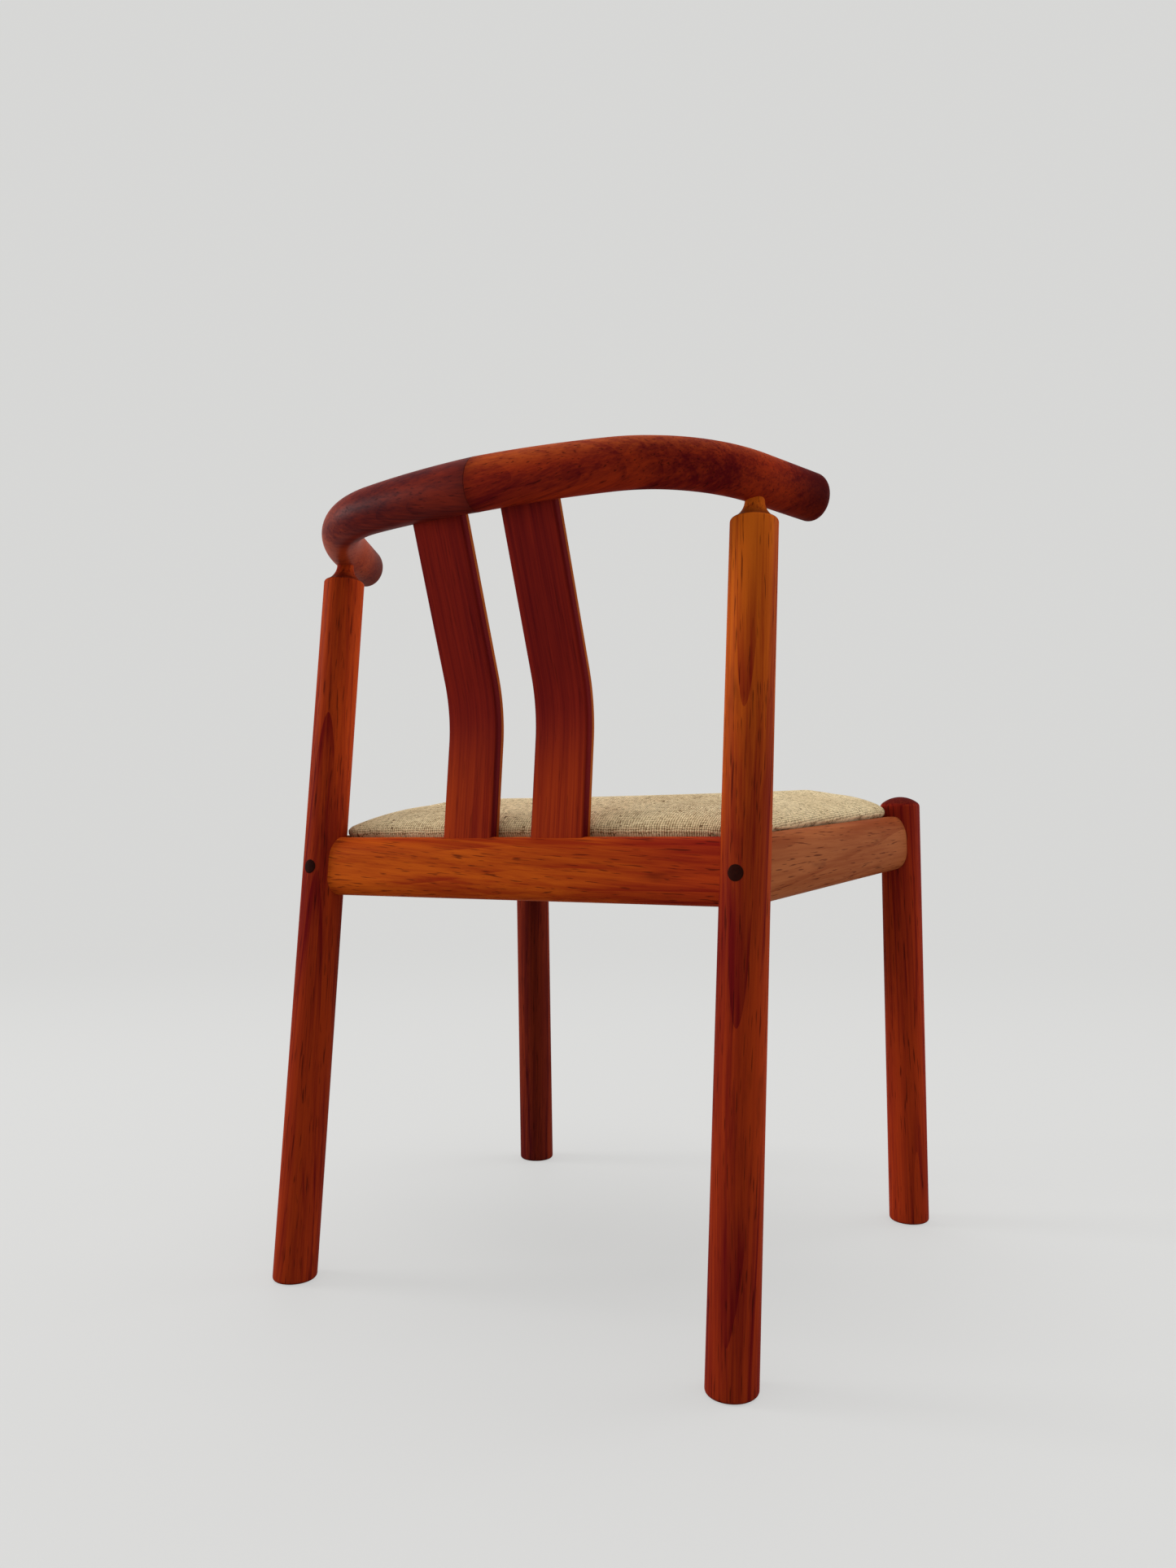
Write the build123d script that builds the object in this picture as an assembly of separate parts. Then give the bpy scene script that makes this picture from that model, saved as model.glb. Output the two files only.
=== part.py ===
from build123d import *
import math
import os

# Dining chair with a horseshoe top rail, two bent back slats and a drop-in padded seat.
# Millimetres and degrees. The chair stands on Z = 0 and faces -Y, and the sitter's left is +X.
# The model is drawn with the rear feet's axes on Y = 0. Every piece is then moved so that the
# origin lies on the floor, under the middle of the chair.

# Legs
leg_diameter = 40.0
rear_leg_top_diameter = 39.0
rear_leg_spacing = 433.0
front_leg_spacing = 464.0
foot_spacing = 432.5
rear_lean = 5.5
front_rake = 1.25
shoulder_height = 653.0
front_leg_stand = 20.0
front_dome_rise = 8.0
foot_round = 3.0
shoulder_round = 3.0
neck_diameter = 16.0
neck_slope = 27.0
tenon_depth = 20.0

# Seat rails
rail_share = 0.575
rail_height = 54.5
rail_outer_round = 10.0
rail_inner_round = 4.0
back_rail_top = 403.5
side_rail_rise = 18.5

# Top rail: an oval bar that runs back from the legs, and forward past them as two short arms
top_rail_width = 37.0
top_rail_height = 41.6
middle_height = 47.0
top_rail_rise = 37.7
top_rail_bow = 81.0
corner_radius = 128.0
leg_heading = 64.3
arm_heading = 65.8
arm_length = 69.8
tip_taper = 0.024
taper_length = 158.0
tip_round = 10.5

# Back slats
slat_width = 53.0
slat_gap = 40.0
slat_thickness = 13.0
slat_edge_round = 2.5
slat_forward = 2.3
slat_bend_rise = 112.5
slat_bend_radius = 141.0
slat_head_forward = 3.0
slat_foot_depth = 18.0
slat_head_depth = 16.0

# Dowels
dowel_diameter = 8.0
dowel_in_leg = 14.0
dowel_in_rail = 26.0
dowel_spacing = 26.0
bolted_dowel_spacing = 34.0
dowel_chamfer = 0.8
centre_dowel_diameter = 10.0
centre_dowel_length = 36.0
centre_dowel_spacing = 18.0

# Bolts between the rear legs and the side rails
plug_diameter = 13.0
plug_depth = 7.0
plug_proud = 0.3
bolt_diameter = 6.0
bolt_head_diameter = 10.0
bolt_head_height = 6.0
bolt_socket_width = 5.0
bolt_socket_depth = 3.0
bolt_past_nut = 8.0
washer_diameter = 12.0
washer_thickness = 1.6
nut_diameter = 12.0
nut_wall = 2.5
nut_slot_width = 1.6
nut_setback = 32.0

# Corner blocks and their screws
block_reach = 92.0
block_wing = 14.0
block_thickness = 24.0
screw_diameter = 4.5
screw_in_rail = 16.0
screw_tip = 5.0
screw_head_diameter = 8.4
screw_head_height = 3.0
screw_slot_width = 1.2
screw_slot_depth = 1.4
screw_from_end = 10.0

# Drop-in seat
seat_sink = 14.0
board_thickness = 12.0
cover_thickness = 1.5
dust_cover_thickness = 0.8
dust_cover_inset = 12.0
hem_width = 30.0
crown_height = 30.0
edge_crown = 4.5
edge_height = 2.5
crown_side_run = 50.0
rear_fullness = 9
front_fullness = 12
side_draw = 3.0
staple_width = 10.0
staple_wire = 0.7
staple_leg = 6.0
staple_pitch = 60.0

# Clearances
glue_gap = 0.1
dowel_play = 0.05
dowel_end_gap = 0.5
bolt_play = 0.4
screw_play = 0.05
head_play = 0.6
block_leg_gap = 2.0
seat_rest_gap = 0.3
seat_side_gap = 2.5
seat_front_gap = 4.5
seat_leg_gap = 2.5
seat_lift_drift = 5.0

# Sizes that follow from the ones above
LEG_RADIUS = leg_diameter / 2
NECK_RADIUS = neck_diameter / 2
LEAN = math.radians(rear_lean)
RAKE = math.radians(front_rake)
REAR_X = rear_leg_spacing / 2
FRONT_X = front_leg_spacing / 2
REAR_UP = Vector(0, -math.sin(LEAN), math.cos(LEAN))
FRONT_UP = Vector(0, math.sin(RAKE), math.cos(RAKE))
BACKWARD = Vector(0, math.cos(LEAN), math.sin(LEAN))
RAIL_THICKNESS = rail_share * leg_diameter
RAIL_MID_LEVEL = back_rail_top - rail_height / 2
FRONT_MID_LEVEL = RAIL_MID_LEVEL + side_rail_rise
FRONT_LEG_HEIGHT = back_rail_top + side_rail_rise + front_leg_stand
TOP_RAIL_LEVEL = shoulder_height + top_rail_rise
SLAT_BEND_LEVEL = back_rail_top + slat_bend_rise
SIDES = {"left": 1, "right": -1}
FROM_BASE = (Align.CENTER, Align.CENTER, Align.MIN)


def rear_axis(level, side=0):
    """Point of a rear leg's axis at a height, or of the middle of the back with side 0."""
    return Vector(side * REAR_X, -level * math.tan(LEAN), level)


def front_axis(level, side=0):
    """Point of a front leg's axis at a height, or of the middle of the front with side 0."""
    return Vector(side * FRONT_X, level * math.tan(RAKE) - foot_spacing, level)


def joined(solids):
    """One shape that holds separate solids."""
    return Compound(children=list(solids))


# Seat plane: on top of the rails, X across the chair, Y backwards, Z out of the seat
RAIL_RUN = rear_axis(RAIL_MID_LEVEL).Y - front_axis(FRONT_MID_LEVEL).Y
TILT = math.atan2(side_rail_rise, RAIL_RUN)
SEAT_PLANE = Plane(
    origin=rear_axis(back_rail_top),
    x_dir=(1, 0, 0),
    z_dir=(0, math.sin(TILT), math.cos(TILT)),
)
SEAT_RUN = RAIL_RUN / math.cos(TILT)
SPLAY = math.atan2(FRONT_X - REAR_X, SEAT_RUN)


# Legs

def turned(edges):
    """Solid of revolution about Z, from a closed profile of radius across and height up."""
    return revolve(Plane.XZ * make_face(edges), Axis.Z)


def stood_on_floor(leg):
    """A leg cut off level with the floor, with the edge of its foot rounded."""
    leg = split(leg, bisect_by=Plane.XY, keep=Keep.TOP)
    return fillet(leg.edges().group_by(Axis.Z)[0], foot_round)


def rear_leg_plane(side):
    return Plane(origin=rear_axis(0, side), x_dir=(1, 0, 0), z_dir=REAR_UP)


def front_leg_plane(side):
    return Plane(origin=front_axis(0, side), x_dir=(1, 0, 0), z_dir=FRONT_UP)


SHOULDER = shoulder_height / math.cos(LEAN)
TOP_RAIL_ALONG_LEG = TOP_RAIL_LEVEL / math.cos(LEAN)
TENON_TOP = TOP_RAIL_ALONG_LEG - top_rail_height / 2 + tenon_depth


def rear_leg_blank(side):
    """Tapered leg with a rounded shoulder, a neck that sweeps in and a round tenon.

    The shoulder's arc turns until it rises inwards at the neck's slope. There the hollow arc of
    the neck takes over, of the radius that leaves it upright at the tenon.
    """
    shoulder_radius = rear_leg_top_diameter / 2
    below_floor = -leg_diameter / 4
    slope = math.radians(neck_slope)
    foot_out = (LEG_RADIUS, below_floor)
    shoulder_start = (shoulder_radius, SHOULDER)

    def on_shoulder(rise):
        x = shoulder_radius - shoulder_round * (1 - math.sin(rise))
        return x, SHOULDER + shoulder_round * math.cos(rise)

    neck_start = on_shoulder(slope)
    hollow_radius = (neck_start[0] - NECK_RADIUS) / (1 - math.sin(slope))
    hollow_x = NECK_RADIUS + hollow_radius
    hollow_z = neck_start[1] + hollow_radius * math.cos(slope)

    def on_neck(rise):
        return hollow_x - hollow_radius * math.sin(rise), hollow_z - hollow_radius * math.cos(rise)

    upright = math.pi / 2
    neck_end = on_neck(upright)
    profile = [
        Line((0, below_floor), foot_out),
        Line(foot_out, shoulder_start),
        ThreePointArc(shoulder_start, on_shoulder((upright + slope) / 2), neck_start),
        ThreePointArc(neck_start, on_neck((upright + slope) / 2), neck_end),
        Line(neck_end, (NECK_RADIUS, TENON_TOP)),
        Line((NECK_RADIUS, TENON_TOP), (0, TENON_TOP)),
        Line((0, TENON_TOP), (0, below_floor)),
    ]
    return stood_on_floor(rear_leg_plane(side) * turned(profile))


def front_leg_blank(side):
    """Straight leg with a domed top."""
    top = FRONT_LEG_HEIGHT / math.cos(RAKE)
    below_floor = -leg_diameter / 4
    dome_radius = (LEG_RADIUS**2 + front_dome_rise**2) / (2 * front_dome_rise)
    half_angle = math.asin(LEG_RADIUS / dome_radius) / 2
    dome_mid = (
        dome_radius * math.sin(half_angle),
        top - dome_radius * (1 - math.cos(half_angle)),
    )
    dome_start = (LEG_RADIUS, top - front_dome_rise)
    profile = [
        Line((0, below_floor), (LEG_RADIUS, below_floor)),
        Line((LEG_RADIUS, below_floor), dome_start),
        ThreePointArc(dome_start, dome_mid, (0, top)),
        Line((0, top), (0, below_floor)),
    ]
    return stood_on_floor(front_leg_plane(side) * turned(profile))


def rear_leg_radius(level):
    """Radius of a rear leg, which tapers from its foot to its shoulder."""
    share = level / shoulder_height
    return LEG_RADIUS + (rear_leg_top_diameter / 2 - LEG_RADIUS) * share


def rear_leg_space(side, extra):
    """The space that a rear leg fills, up to its shoulder, grown all round."""
    bottom = LEG_RADIUS + extra
    top = rear_leg_top_diameter / 2 + extra
    return rear_leg_plane(side) * Cone(bottom, top, SHOULDER, align=FROM_BASE)


def front_leg_space(side, extra):
    """The space that a front leg fills, and above it, grown all round."""
    return front_leg_plane(side) * Cylinder(LEG_RADIUS + extra, SHOULDER, align=FROM_BASE)


# Seat rails

def rail_bar(start, end, outward, extra=0.0):
    """Straight rail between two points, with its outer and inner edges rounded."""
    along = (end - start).normalized()
    width = RAIL_THICKNESS + 2 * extra
    outer_round = min(rail_outer_round, width - rail_inner_round - 1)
    section = Rectangle(width, rail_height + 2 * extra)
    section = fillet(section.vertices().group_by(Axis.X)[-1], outer_round)
    section = fillet(section.vertices().group_by(Axis.X)[0], rail_inner_round)
    return extrude(Plane(origin=start, x_dir=outward, z_dir=along) * section, (end - start).length)


def rail_line(name):
    """Start, end and outward direction of a rail, so that its height points up."""
    rear = {side: rear_axis(RAIL_MID_LEVEL, sign) for side, sign in SIDES.items()}
    front = {side: front_axis(FRONT_MID_LEVEL, sign) for side, sign in SIDES.items()}
    if name == "back_rail":
        return rear["right"], rear["left"], BACKWARD
    if name == "front_rail":
        return front["left"], front["right"], Vector(0, -math.cos(RAKE), math.sin(RAKE))
    if name == "side_rail_left":
        start, end = rear["left"], front["left"]
    else:
        start, end = front["right"], rear["right"]
    run = end - start
    return start, end, Vector(-run.Y, run.X, 0).normalized()


RAIL_NAMES = ["back_rail", "front_rail", "side_rail_left", "side_rail_right"]


def rail_blank(name, extra=0.0):
    return rail_bar(*rail_line(name), extra)


# Dowels

def dowels_at(axis_point, into_rail, up, leg_radius, spacing):
    """Two dowels from a leg into a rail, with the holes that take them."""
    dowels = []
    holes = []
    radius = dowel_diameter / 2
    length = dowel_in_leg + dowel_in_rail
    start = leg_radius - dowel_in_leg
    for offset in (-spacing / 2, spacing / 2):
        seat = Plane(origin=axis_point + up * offset, z_dir=into_rail)
        dowel = Cylinder(radius, length, align=FROM_BASE)
        dowel = chamfer(dowel.edges().filter_by(GeomType.CIRCLE), dowel_chamfer)
        dowels.append(seat * Pos(0, 0, start) * dowel)
        hole = Cylinder(radius + dowel_play, length + 2 * dowel_end_gap, align=FROM_BASE)
        holes.append(seat * Pos(0, 0, start - dowel_end_gap) * hole)
    return dowels, holes


def rail_end_dowels(name, at_start, spacing, leg_radius, leg_up):
    """Dowels at one end of a rail, along the rail."""
    start, end, _ = rail_line(name)
    along = (end - start).normalized()
    if at_start:
        return dowels_at(start, along, leg_up, leg_radius, spacing)
    return dowels_at(end, along * -1, leg_up, leg_radius, spacing)


# Top rail: its centre line lies in a plane square to the rear legs

def top_rail_plane():
    return Plane(origin=REAR_UP * TOP_RAIL_ALONG_LEG, x_dir=(1, 0, 0), z_dir=REAR_UP)


def top_rail_arcs():
    """Radius and turn of the long back arc, which meets the corner arc without a kink.

    The corner arc passes over the leg's axis at the leg's heading. With p across and q deep
    left over for the back arc beyond the corner's own circle, its turn is 2 atan(q / p).
    """
    heading = math.radians(leg_heading)
    across = REAR_X - corner_radius * math.sin(heading)
    deep = top_rail_bow - corner_radius * (1 - math.cos(heading))
    turn = 2 * math.atan2(deep, across)
    return across / math.sin(turn) + corner_radius, turn


BACK_RADIUS, BACK_TURN = top_rail_arcs()
ARM_TURN = math.radians(arm_heading)
BACK_LENGTH = BACK_RADIUS * BACK_TURN
CORNER_LENGTH = corner_radius * (ARM_TURN - BACK_TURN)
RAIL_LENGTH = BACK_LENGTH + CORNER_LENGTH + arm_length


def top_rail_station(travel):
    """Point and heading of the centre line, a distance along it from the back's middle."""
    if travel <= BACK_LENGTH:
        heading = travel / BACK_RADIUS
        x = BACK_RADIUS * math.sin(heading)
        y = top_rail_bow - BACK_RADIUS * (1 - math.cos(heading))
        return x, y, heading
    heading = min(BACK_TURN + (travel - BACK_LENGTH) / corner_radius, ARM_TURN)
    bend = BACK_RADIUS - corner_radius
    x = bend * math.sin(BACK_TURN) + corner_radius * math.sin(heading)
    y = top_rail_bow - bend * (1 - math.cos(BACK_TURN)) - corner_radius * (1 - math.cos(heading))
    straight = max(travel - BACK_LENGTH - CORNER_LENGTH, 0)
    return x + straight * math.cos(heading), y - straight * math.sin(heading), heading


def top_rail_half_height(travel):
    """Half the section's height: tallest in the middle, lower along the back, then tapered."""
    along_back = min(travel / (RAIL_LENGTH - taper_length), 1)
    along_arm = max(1 - (RAIL_LENGTH - travel) / taper_length, 0)
    height = middle_height + (top_rail_height - middle_height) * along_back
    return height * (1 - tip_taper * along_arm) / 2


def top_rail_section(travel):
    """Oval section of the top rail."""
    x, y, heading = top_rail_station(travel)
    along_arm = max(1 - (RAIL_LENGTH - travel) / taper_length, 0)
    half_width = top_rail_width * (1 - tip_taper * along_arm) / 2
    across = Plane(
        origin=(x, y, 0),
        x_dir=(math.sin(heading), math.cos(heading), 0),
        z_dir=(math.cos(heading), -math.sin(heading), 0),
    )
    return across * Ellipse(half_width, top_rail_half_height(travel))


def top_rail_half():
    """Left half of the top rail: an oval along two arcs and a line, to a rounded tip."""
    travels = [
        0,
        BACK_LENGTH / 2,
        BACK_LENGTH,
        BACK_LENGTH + CORNER_LENGTH / 2,
        BACK_LENGTH + CORNER_LENGTH,
        RAIL_LENGTH,
    ]
    points = [top_rail_station(travel)[:2] for travel in travels]
    path = Wire([
        ThreePointArc(*points[0:3]),
        ThreePointArc(*points[2:5]),
        Line(*points[4:6]),
    ])
    sections = [top_rail_section(at) for at in (0, RAIL_LENGTH - taper_length, RAIL_LENGTH)]
    half = sweep(sections, path=path, multisection=True)
    tip = half.faces().sort_by(Axis.Y)[0]
    return top_rail_plane() * fillet(tip.edges(), tip_round)


def top_rail_middle(x):
    """Point of the top rail's centre line on its back arc, at a distance from the middle."""
    y = top_rail_bow - (BACK_RADIUS - math.sqrt(BACK_RADIUS**2 - x**2))
    return top_rail_plane().from_local_coords(Vector(x, y, 0))


def tenon_bore(side):
    radius = NECK_RADIUS + glue_gap
    bore = Cylinder(radius, TENON_TOP + dowel_end_gap - SHOULDER, align=FROM_BASE)
    return rear_leg_plane(side) * Pos(0, 0, SHOULDER) * bore


def centre_dowels():
    """Dowels across the centre joint of the top rail, with their holes."""
    dowels = []
    holes = []
    middle = top_rail_middle(0)
    radius = centre_dowel_diameter / 2
    for offset in (-centre_dowel_spacing / 2, centre_dowel_spacing / 2):
        seat = Plane(origin=middle + REAR_UP * offset, z_dir=(1, 0, 0))
        dowel = Cylinder(radius, centre_dowel_length)
        dowel = chamfer(dowel.edges().filter_by(GeomType.CIRCLE), dowel_chamfer)
        dowels.append(seat * dowel)
        holes.append(seat * Cylinder(radius + dowel_play, centre_dowel_length + 2 * dowel_end_gap))
    return dowels, holes


# Back slats

SLAT_X = (slat_gap + slat_width) / 2


def back_slat(side, extra=0.0, longer=0.0):
    """Slat bent once: parallel to the legs below, then leaning back to the top rail."""
    foot = rear_axis(back_rail_top) - BACKWARD * slat_forward
    bend = foot + REAR_UP * ((SLAT_BEND_LEVEL - foot.Z) / REAR_UP.Z)
    head = top_rail_middle(SLAT_X) - Vector(SLAT_X, slat_head_forward, 0)
    lean_back = (head - bend).normalized()
    start = foot - REAR_UP * (slat_foot_depth + longer)
    end = head - lean_back * (top_rail_half_height(SLAT_X) - slat_head_depth - longer)
    path = FilletPolyline(start, bend, end, radius=slat_bend_radius)
    section = RectangleRounded(
        slat_width + 2 * extra, slat_thickness + 2 * extra, slat_edge_round + extra
    )
    slat = sweep(Plane(origin=start, x_dir=(1, 0, 0), z_dir=REAR_UP) * section, path=path)
    return Pos(side * SLAT_X, 0, 0) * slat


def slat_mortise(side):
    """The space that a slat's ends need in the rails."""
    return back_slat(side, glue_gap, dowel_end_gap)


# Bolts, washers, barrel nuts and plugs between the rear legs and the side rails

def bolt_plane(side):
    """On the leg's axis at the middle of the rails, Z forwards along the bolt."""
    return Plane(origin=rear_axis(RAIL_MID_LEVEL, side), x_dir=(1, 0, 0), z_dir=(0, -1, 0))


BOLT_LEG_RADIUS = rear_leg_radius(RAIL_MID_LEVEL)
WASHER_BACK = plug_depth + bolt_head_height - BOLT_LEG_RADIUS
BOLT_SEAT = WASHER_BACK + washer_thickness
NUT_AT = BOLT_LEG_RADIUS + nut_setback
BOLT_END = NUT_AT + bolt_past_nut


def along_bolt(side, radius, start, end):
    """Round solid on the bolt's axis between two distances from the leg's axis."""
    return bolt_plane(side) * Pos(0, 0, start) * Cylinder(radius, end - start, align=FROM_BASE)


def leg_bolt(side):
    head_back = WASHER_BACK - bolt_head_height
    head = along_bolt(side, bolt_head_diameter / 2, head_back, WASHER_BACK)
    socket = extrude(RegularPolygon(bolt_socket_width / 2, 6, major_radius=False), bolt_socket_depth)
    shank = along_bolt(side, bolt_diameter / 2, WASHER_BACK, BOLT_END)
    return head + shank - bolt_plane(side) * Pos(0, 0, head_back) * socket


def leg_bolt_washer(side):
    ring = along_bolt(side, washer_diameter / 2, WASHER_BACK, BOLT_SEAT)
    return ring - along_bolt(side, bolt_diameter / 2 + bolt_play, WASHER_BACK, BOLT_SEAT)


def leg_plug(side):
    outside = -2 * BOLT_LEG_RADIUS
    inner_end = WASHER_BACK - bolt_head_height
    plug = along_bolt(side, plug_diameter / 2, outside, inner_end)
    return plug & rear_leg_space(side, plug_proud)


def bolt_holes(side):
    """Counterbore for the plug and washer, and the bolt's clearance hole."""
    outside = -2 * BOLT_LEG_RADIUS
    counterbore = along_bolt(side, plug_diameter / 2 + glue_gap, outside, BOLT_SEAT)
    hole = along_bolt(side, bolt_diameter / 2 + bolt_play, BOLT_SEAT, BOLT_END + bolt_play)
    return counterbore, hole


def nut_plane(side):
    """On the bolt's axis at the nut, X forwards, Z towards the middle of the chair."""
    origin = bolt_plane(side).from_local_coords(Vector(0, 0, NUT_AT))
    return Plane(origin=origin, x_dir=(0, -1, 0), z_dir=(-side, 0, 0))


def nut_reach(side):
    """How far the barrel nut reaches from the bolt's axis, outwards and inwards."""
    drift = NUT_AT * math.tan(SPLAY)
    half = RAIL_THICKNESS / 2 - nut_wall
    return half + drift, half - drift


def barrel_nut(side):
    outwards, inwards = nut_reach(side)
    nut = Pos(0, 0, -outwards) * Cylinder(nut_diameter / 2, outwards + inwards, align=FROM_BASE)
    slot = Pos(0, 0, inwards) * Box(nut_diameter, nut_slot_width, 2 * nut_slot_width)
    thread = Rotation(0, 90, 0) * Cylinder(bolt_diameter / 2 + dowel_play, 2 * nut_diameter)
    return nut_plane(side) * (nut - slot - thread)


def nut_hole(side):
    outwards, inwards = nut_reach(side)
    depth = outwards + inwards + 2 * nut_wall
    hole = Cylinder(nut_diameter / 2 + glue_gap, depth, align=FROM_BASE)
    return nut_plane(side) * Pos(0, 0, -outwards - glue_gap) * hole


# Corner blocks, in the seat plane

def inner_half_width(y):
    """Half the width between the side rails' inner faces, at a depth in the seat plane."""
    share = -y / SEAT_RUN
    return REAR_X + (FRONT_X - REAR_X) * share - RAIL_THICKNESS / 2 / math.cos(SPLAY)


SEAT_BOTTOM = -seat_sink
BLOCK_TOP = SEAT_BOTTOM - dust_cover_thickness - seat_rest_gap
REAR_EDGE = -RAIL_THICKNESS / 2
FRONT_EDGE = -SEAT_RUN + RAIL_THICKNESS / 2


def corner_block_blank(side, at_rear):
    """Five-sided block across a corner, cut to the rails and round the leg."""
    edge = REAR_EDGE if at_rear else FRONT_EDGE
    inwards = -1 if at_rear else 1
    corner_x = inner_half_width(edge)
    into_rail = RAIL_THICKNESS / 2
    outline = [
        (corner_x + into_rail, -into_rail),
        (corner_x + into_rail, block_reach),
        (corner_x - block_wing, block_reach),
        (corner_x - block_reach, block_wing),
        (corner_x - block_reach, -into_rail),
    ]
    points = [(side * x, edge + inwards * y) for x, y in outline]
    face = make_face(Polyline(*points, close=True))
    prism = extrude(Pos(0, 0, BLOCK_TOP - block_thickness) * face, block_thickness, dir=(0, 0, 1))
    return SEAT_PLANE * prism


def block_screw_planes(side, at_rear):
    """Planes of a block's two screws: origin under the head, Z into the rail."""
    edge = REAR_EDGE if at_rear else FRONT_EDGE
    inwards = -1 if at_rear else 1
    level = BLOCK_TOP - block_thickness / 2
    far = block_reach - screw_from_end
    corner_x = inner_half_width(edge)
    end_rail = Plane(
        origin=(side * (corner_x - far), edge + inwards * block_wing, level),
        x_dir=(0, 0, 1),
        z_dir=(0, -inwards, 0),
    )
    side_y = edge + inwards * far
    side_rail = Plane(
        origin=(side * (inner_half_width(side_y) - block_wing), side_y, level),
        x_dir=(0, 0, 1),
        z_dir=(side, 0, 0),
    )
    return [SEAT_PLANE * end_rail.location, SEAT_PLANE * side_rail.location]


SCREW_LENGTH = block_wing + screw_in_rail


def block_screw():
    """Wood screw with a slotted round head, its shank along +Z."""
    radius = screw_diameter / 2
    shank = Cylinder(radius, SCREW_LENGTH - screw_tip, align=FROM_BASE)
    tip = Pos(0, 0, SCREW_LENGTH - screw_tip) * Cone(radius, radius / 8, screw_tip, align=FROM_BASE)
    head = Pos(0, 0, -screw_head_height) * Cylinder(
        screw_head_diameter / 2, screw_head_height, align=FROM_BASE
    )
    slot = Pos(0, 0, -screw_head_height) * Box(
        screw_head_diameter, screw_slot_width, 2 * screw_slot_depth
    )
    return head + shank + tip - slot


def block_screw_hole():
    return Cylinder(screw_diameter / 2 + screw_play, SCREW_LENGTH + screw_play, align=FROM_BASE)


def block_screw_pocket():
    radius = screw_head_diameter / 2 + head_play
    return Pos(0, 0, -block_reach) * Cylinder(radius, block_reach, align=FROM_BASE)


# Drop-in seat, in the seat plane

SEAT_REAR = REAR_EDGE - seat_side_gap
SEAT_FRONT = FRONT_EDGE + seat_front_gap
BOARD_BOTTOM = SEAT_BOTTOM + cover_thickness
BOARD_TOP = BOARD_BOTTOM + board_thickness


def pad_section(depth_share, inset):
    """Cross-section of the pad: flat below, drawn-in sides, a level crown with round shoulders.

    The depth share t runs from -1 at the front edge to 1 at the rear, and the crown is
    1 - |t|^fullness of the way from its height at the edges to its full height.
    """
    middle = (SEAT_REAR + SEAT_FRONT) / 2
    half_depth = (SEAT_REAR - SEAT_FRONT) / 2 - inset
    y = middle + depth_share * half_depth
    fullness = rear_fullness if depth_share > 0 else front_fullness
    rise = 1 - abs(depth_share) ** fullness
    half = inner_half_width(y) - seat_side_gap - inset
    bottom = SEAT_BOTTOM + inset
    shoulder = edge_height - inset
    top = edge_crown - inset + (crown_height - edge_crown) * rise
    drawn = half - side_draw
    level = drawn - crown_side_run
    waist = (bottom + shoulder) / 2
    ellipse_pull = 4 / 3 * (math.sqrt(2) - 1)
    steep = shoulder + (top - shoulder) * ellipse_pull
    shallow = level + crown_side_run * ellipse_pull
    edges = [
        Line((-drawn, bottom), (drawn, bottom)),
        ThreePointArc((drawn, bottom), (half, waist), (drawn, shoulder)),
        Bezier((drawn, shoulder), (drawn, steep), (shallow, top), (level, top)),
        Line((level, top), (-level, top)),
        Bezier((-level, top), (-shallow, top), (-drawn, steep), (-drawn, shoulder)),
        ThreePointArc((-drawn, shoulder), (-half, waist), (-drawn, bottom)),
    ]
    return Plane(origin=(0, y, 0), x_dir=(1, 0, 0), z_dir=(0, -1, 0)) * make_face(edges)


def pad_form(inset):
    """The crowned pad, notched round the four legs, drawn in all round by an inset."""
    shares = [-1, -0.96, -0.88, -0.7, 0, 0.6, 0.8, 0.93, 1]
    pad = SEAT_PLANE * loft([pad_section(share, inset) for share in shares])
    for side in SIDES.values():
        pad -= rear_leg_space(side, seat_leg_gap + inset)
        front = front_leg_space(side, seat_leg_gap + inset)
        pad -= front
        pad -= Pos(0, seat_lift_drift, 0) * front
    return pad


def seat_slab(bottom, top):
    """Everything between two levels of the seat plane."""
    width = 2 * front_leg_spacing
    slab = Box(width, width, top - bottom, align=FROM_BASE)
    return SEAT_PLANE * Pos(0, (SEAT_REAR + SEAT_FRONT) / 2, bottom) * slab


def seat_outline(inset):
    """Four-sided outline of the seat in the seat plane, drawn in by an inset."""
    rear = SEAT_REAR - inset
    front = SEAT_FRONT + inset
    rear_half = inner_half_width(rear) - seat_side_gap - inset
    front_half = inner_half_width(front) - seat_side_gap - inset
    return [(-rear_half, rear), (rear_half, rear), (front_half, front), (-front_half, front)]


def seat_sheet(inset, bottom, thickness):
    """Flat sheet of the seat's outline, notched round the legs."""
    face = make_face(Polyline(*seat_outline(inset), close=True))
    sheet = SEAT_PLANE * extrude(Pos(0, 0, bottom) * face, thickness, dir=(0, 0, 1))
    for side in SIDES.values():
        sheet -= rear_leg_space(side, seat_leg_gap + inset)
        sheet -= Pos(0, seat_lift_drift, 0) * front_leg_space(side, seat_leg_gap + inset)
    return sheet


def staple():
    """Staple with its crown along X and its legs up."""
    crown = Box(staple_width, staple_wire, staple_wire, align=FROM_BASE)
    leg = Box(staple_wire, staple_wire, staple_leg, align=FROM_BASE)
    reach = (staple_width - staple_wire) / 2
    return crown + Pos(-reach, 0, 0) * leg + Pos(reach, 0, 0) * leg


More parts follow.
